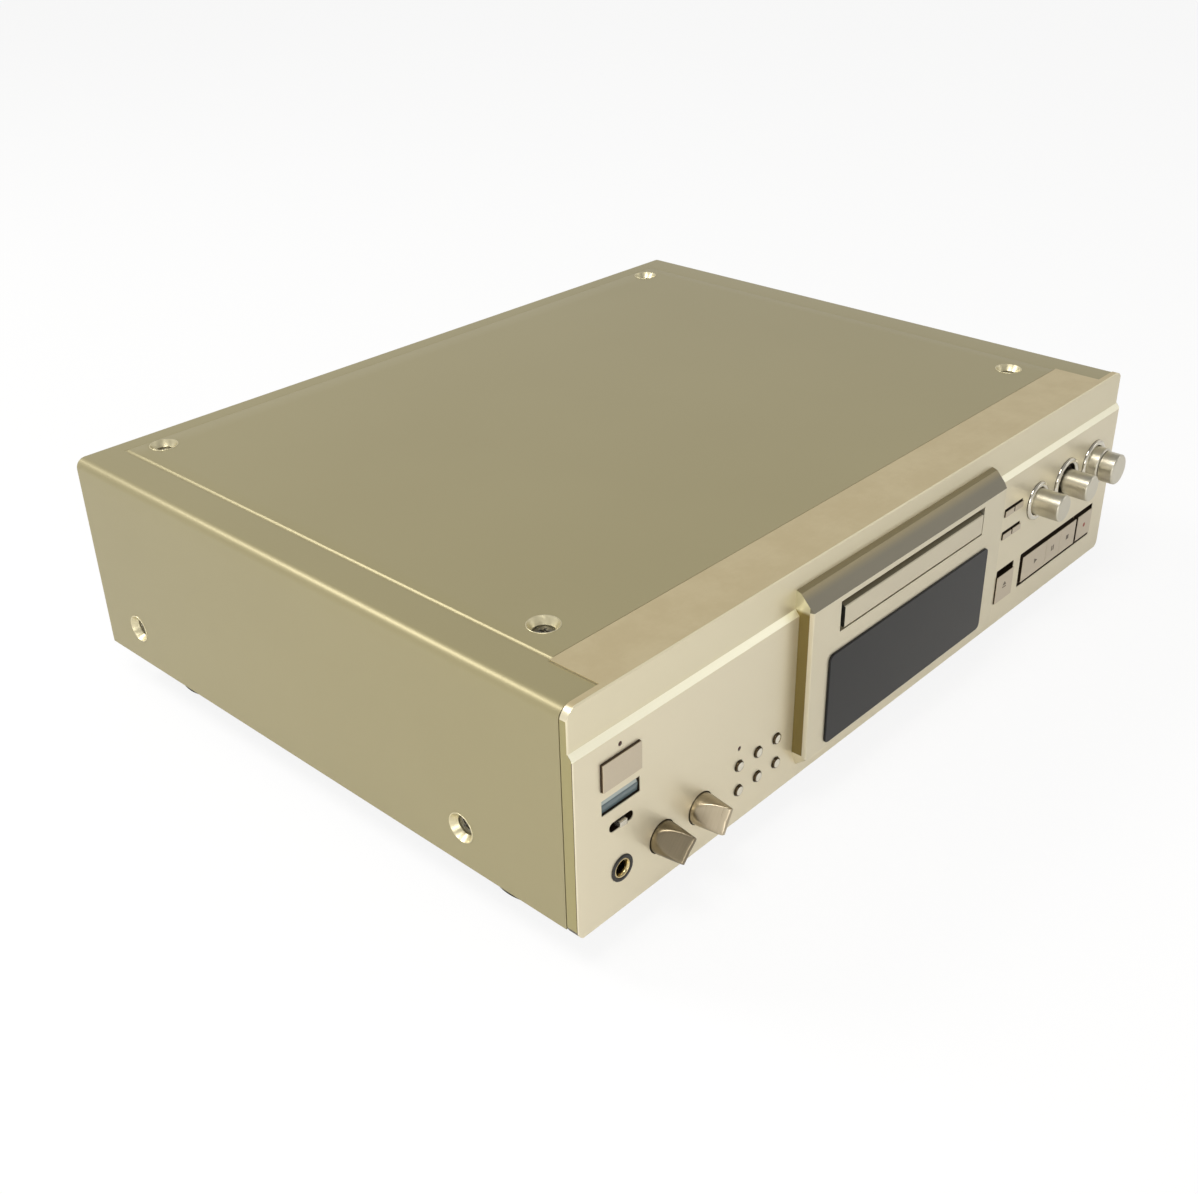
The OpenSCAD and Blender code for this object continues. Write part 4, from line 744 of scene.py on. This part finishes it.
# ---------------------------------------------------------------------------------------------
# Phones jack: a black nut with a pale gold sleeve in it, over a moulded socket body. The nut
# clamps the body to the panel, and the bore goes through to the body's rear.
jack_place = (-189.7, 0, 21.2)
jack_black = Finish("dark_plastic", roughness=0.42)
jack_black.speckled((24, 22, 20), (32, 29, 26), 900, rough=(0.36, 0.14))
jack_gold = Finish("jack_gold", metallic=1.0, roughness=0.22)
jack_gold.speckled((206, 188, 140), (222, 206, 160), 800, rough=(0.18, 0.1))
nut_profile = [(4.35, -6), (5.9, -6), (5.9, 0.35), (5.75, 0.55), (5.4, 0.6), (4.6, 0.6), (4.4, 0.45),
               (4.35, 0.2), (4.35, -6)]
sleeve_profile = [(3.2, -6), (4.3, -6), (4.3, 0.3), (4.1, 0.42), (3.75, 0.3), (3.3, -0.4), (3.2, -1.2),
                  (3.2, -6)]
bore_profile = [(3.2, -34), (3.2, -1.0), (3.3, -1.0), (3.3, -34), (3.2, -34)]
shell_object("jack_sleeve", [stood(turned(sleeve_profile), jack_place, (0, -1, 0)),
                             stood(turned(bore_profile), jack_place, (0, -1, 0))], jack_gold.owner, "case")
socket_half, socket_depth = 8.0, 36.0


def boxed(rings, segments=64):
    """Rings of (squareness, size, height) as one surface: 0 gives a circle of that radius, 1 a square."""
    angle = np.arange(segments) * 2 * pi / segments
    square = 1 / np.maximum(np.abs(np.cos(angle)), np.abs(np.sin(angle)))
    rows = [[size * (1 + squareness * (square - 1)), height] for squareness, size, height in rings]
    points = [np.stack([reach * np.cos(angle), reach * np.sin(angle), height + 0 * angle], axis=-1)
              for reach, height in rows]
    return np.array(points), grid_quads(len(rings), segments, round_columns=True)


jack_shape = [(0, 3.25, -5.8), (1, socket_half, -5.8), (1, socket_half, -socket_depth),
              (0, 0.0, -socket_depth)]
bore_end = [(3.2, -30), (3.2, -34), (0, -34)]
jack = shell_object("jack_socket", [stood(turned(nut_profile), jack_place, (0, -1, 0)),
                                    stood(boxed(jack_shape), jack_place, (0, -1, 0)),
                                    stood(turned(bore_end), jack_place, (0, -1, 0))],
                    jack_black.owner, "case", "phones_jack", outward=False)

# ---------------------------------------------------------------------------------------------
# Small front fittings: the remote receiver's tinted window, the timer lever in its moulded slot,
# two status lamps, and the moulded frame in which the transport keys lie.
receiver_tint = Finish("receiver_tint", roughness=0.08)
# Painted reflection: the window's upper part is painted a pale blue-grey and its lower part dark.
receiver_rise = receiver_tint.axis(2)
receiver_low, receiver_high = 0.0728, 0.0732
receiver_tint.set(base_color=receiver_tint.blend(receiver_rise.step(receiver_low, receiver_high),
                                                 paint(98, 114, 118), paint(196, 206, 202)),
                  roughness=0.06 + receiver_tint.noise(receiver_tint.place(), 300) * 0.04)
softened("receiver_window", "receiver_lens", receiver_tint.owner, "case", width=0.3, segments=3)

softened("timer_switch", "timer_body", jack_black.owner, "case")
lever_metal = Finish("lever_metal", metallic=0.9, roughness=0.25)
lever_metal.speckled((206, 200, 184), (222, 217, 203), 500)
softened("timer_lever", "timer_lever_cap", lever_metal.owner, "timer_lever", width=0.3,
                 segments=3)

lamp_lens = Finish("led_lens", roughness=0.15)
lamp_lens.speckled((58, 30, 24), (76, 42, 32), 900)
lens_profile = [(0, 0.2), (0.6, 0.12), (0.9, -0.05), (1.0, -0.3), (1.0, -6), (1.9, -6), (1.9, -10),
                (0, -10)]
lamp_places = [(-189.7, 0, 79.6), (-117.3, 0, 38.1)]
lamps = shell_object("status_lamps", [stood(turned(lens_profile, 32), place, (0, -1, 0))
                                      for place in lamp_places], lamp_lens.owner, "case", "led_lenses")

# Painted shade: the frame's dark brown is its moulding's colour made darker still, for the shade in the
# recess round the transport keys.
frame_brown = Finish("key_frame", roughness=0.5)
frame_brown.speckled((92, 77, 58), (106, 90, 68), 1100, rough=(0.44, 0.14), bump=(0.1, 0.00004))
softened("transport_frame", "key_frame_moulding", frame_brown.owner, "case")

# ---------------------------------------------------------------------------------------------
# Tray: a black moulded drawer with a cartridge well and a rack under its left edge, and an
# anodised front plate with a slanted top edge. It slides out of the module.
tray_black = Finish("tray_plastic", roughness=0.45)
tray_black.speckled((38, 36, 34), (48, 46, 43), 1300, rough=(0.4, 0.14), bump=(0.12, 0.00005))
softened("tray", "tray_drawer", tray_black.owner, "tray", width=0.35)
plate = Finish("tray_front_champagne", metallic=0.8, roughness=0.34)
plate_shade = plate.noise(plate.place(), 30, 2.0)
plate_face = plate.blend(plate_shade, paint(212, 203, 180), paint(219, 211, 188))
plate_end, plate_front, slant_foot = 0.05694, -0.1671, 0.0990
# Painted shade: the plate's slanted top is painted a dark brown-grey.
slant_shade = (plate.axis(1) > plate_front) * (plate.axis(2) > slant_foot)
plate_tone = plate.blend(slant_shade, plate_face, paint(116, 109, 88))
# Painted reflection: the plate's end faces are painted dark grey, for the dark gaps beside them.
plate.set(base_color=plate.blend(abs(plate.axis(0)) > plate_end, plate_tone, paint(74, 73, 66)),
          roughness=0.3 + plate_shade * 0.1)
softened("tray_front", "tray_front_plate", plate.owner, "tray", width=0.2)

# ---------------------------------------------------------------------------------------------
# Feet: four turned plastic feet, each with a recess for a soft pad in its underside and a well in
# its middle for the screw that holds it to the chassis.
foot_places = [(x, y, -17) for x in (-174, 174) for y in (54.0, 286.7)]
foot_radius, foot_height, pad_radius = 27.0, 17.0, 20.0
foot_plastic = Finish("foot_plastic", roughness=0.55)
foot_plastic.speckled((46, 43, 38), (58, 54, 48), 900, rough=(0.48, 0.16))
screw_well, screw_hole, well_top = 5.5, 2.05, 12.5
foot_profile = [(screw_well, 0), (pad_radius - 0.3, 0), (pad_radius, 0.3), (pad_radius, 1),
                (pad_radius + 0.2, 1), (pad_radius + 0.2, 0.2), (foot_radius - 1.4, 0),
                (foot_radius - 0.9, 0.2), (foot_radius - 0.3, 0.7), (foot_radius, 1.4),
                (foot_radius, foot_height - 2.8), (foot_radius - 0.2, foot_height - 2.2),
                (foot_radius - 0.7, foot_height - 2), (foot_radius - 1, foot_height - 1.8),
                (foot_radius - 1, foot_height), (screw_hole, foot_height), (screw_hole, well_top),
                (screw_well, well_top), (screw_well, 0)]
feet = shell_object("turned_feet", [stood(turned(foot_profile, 96), place) for place in foot_places],
                    foot_plastic.owner, "case", "feet")

# ---------------------------------------------------------------------------------------------
# Chassis, brace, rear panel, screws and the pickup's base and motors: zinc-plated steel with a
# faint grain and cloudy patches. The sheets are screwed to each other inside the cover.
zinc = Finish("steel", metallic=0.9, roughness=0.38)
zinc_patch = zinc.noise(zinc.place(), 35, 3.0, 0.6)
zinc_grain = zinc.noise(zinc.place((300, 40, 300)), 4.0, 2.0)
zinc.set(base_color=zinc.blend(zinc_patch, paint(168, 170, 168), paint(190, 191, 187)),
         roughness=0.3 + zinc_grain * 0.18)
softened("rear_panel", "rear_plate", zinc.owner, "case", width=0.2)
for node in ("cover_brace", "bottom_chassis", "bottom_screws", "loading_motor", "pickup_base",
             "pickup_motors"):
    softened(node, node + "_steel", zinc.owner, "pickup" if "pickup" in node else "case",
                     width=0.15)

# ---------------------------------------------------------------------------------------------
# Rear sockets: phono sleeves with coloured collars on moulded blocks, square optical ports, and
# a two-pin mains inlet.
sleeve_places = [(x, z) for x in (60.0, 80.0) for z in (30.0, 50.0)] + [(170.0, 40.0)]
collar_tones = [(178, 40, 34), (178, 40, 34), (236, 234, 228), (236, 234, 228), (214, 120, 40)]
rear_face, sleeve_radius, sleeve_length = 326.3, 4.15, 8.2
softened("rear_jacks", "socket_blocks", jack_black.owner, "case", width=0.2)
sleeve_lathe = [(sleeve_radius + 0.02, 1.6), (sleeve_radius + 0.02, sleeve_length - 0.25),
                (sleeve_radius - 0.2, sleeve_length), (3.55, sleeve_length), (3.4, sleeve_length - 0.2),
                (3.4, sleeve_length - 1.2)]
collar_lathe = [(3.4, sleeve_length - 0.9), (2.2, sleeve_length - 0.5), (1.72, sleeve_length - 0.7),
                (1.72, sleeve_length - 3)]
skirt_lathe = [(sleeve_radius, 0.05), (sleeve_radius + 1.7, 0.05), (sleeve_radius + 1.7, 0.9),
               (sleeve_radius + 1.3, 1.3), (sleeve_radius, 1.5)]
shell_object("phono_sleeves", [stood(turned(sleeve_lathe, 48), (x, rear_face, z), (0, 1, 0))
                               for x, z in sleeve_places], jack_gold.owner, "case", outward=False)
for number, ((x, z), tone) in enumerate(zip(sleeve_places, collar_tones), start=1):
    collar = Finish(f"collar_{number}", roughness=0.35)
    collar.speckled(tone, [int(0.9 * part) for part in tone], 700)
    shell_object(f"phono_collar_{number}", [stood(turned(profile, 48), (x, rear_face, z), (0, 1, 0))
                                            for profile in (collar_lathe, skirt_lathe)],
                 collar.owner, "case", outward=False)
softened("mains_inlet", "inlet_body", jack_black.owner, "case", width=0.25)
pin_profile = [(0, 0.4), (0.8, 0.3), (1.15, -0.3), (1.2, -0.8), (1.2, -11.5), (0, -11.5)]
shell_object("inlet_pins", [stood(turned(pin_profile, 32), (x, rear_face, 40.0), (0, 1, 0))
                            for x in (-179.3, -170.7)], zinc.owner, "case")

# ---------------------------------------------------------------------------------------------
# Inside: the loader's moulded frame and gears, the pickup unit, the two boards, the transformer
# and the switches, in their plain works finishes.


def works(name, first, second, scale, slot, *nodes, roughness=0.45, metallic=0.0, parts_above=None):
    """A two-tone finish for parts that keep their CAD shapes, dark grey above a board's top."""
    finish = Finish(name, roughness=roughness, metallic=metallic)
    tone = finish.speckled(first, second, scale, rough=(roughness - 0.06, 0.12))
    if parts_above:
        finish.set(base_color=finish.blend(finish.axis(2) > parts_above, tone, paint(40, 40, 42)))
    for node in nodes:
        coated(node, finish)


works("mechanism_plastic", (58, 58, 60), (68, 68, 70), 700, "mechanism_plastic", "loader_frame")
works("white_plastic", (224, 222, 212), (236, 234, 226), 600, "white_plastic",
      "loading_gear", "motor_gear")
works("bright_steel", (196, 196, 194), (214, 214, 212), 500, "steel", "turntable", "laser_sled",
      "lead_screw", "head_arm", roughness=0.28, metallic=0.9)
works("switch_grey", (120, 120, 118), (134, 134, 131), 700, "mechanism_plastic", "rotary_controls")
works("core_lacquer", (78, 62, 48), (96, 78, 60), 220, "core_lacquer", "transformer")

board_top = 0.001 * (deck_z + 9.62)
green, mask = (34, 92, 58), (46, 108, 70)
works("board_green", green, mask, 160, "board_green", "main_board", parts_above=board_top)
works("board_green_2", green, mask, 160, "board_green", "front_board")
works("board_brown", (134, 104, 58), (150, 118, 68), 160, "board_brown", "power_board",
      parts_above=board_top)
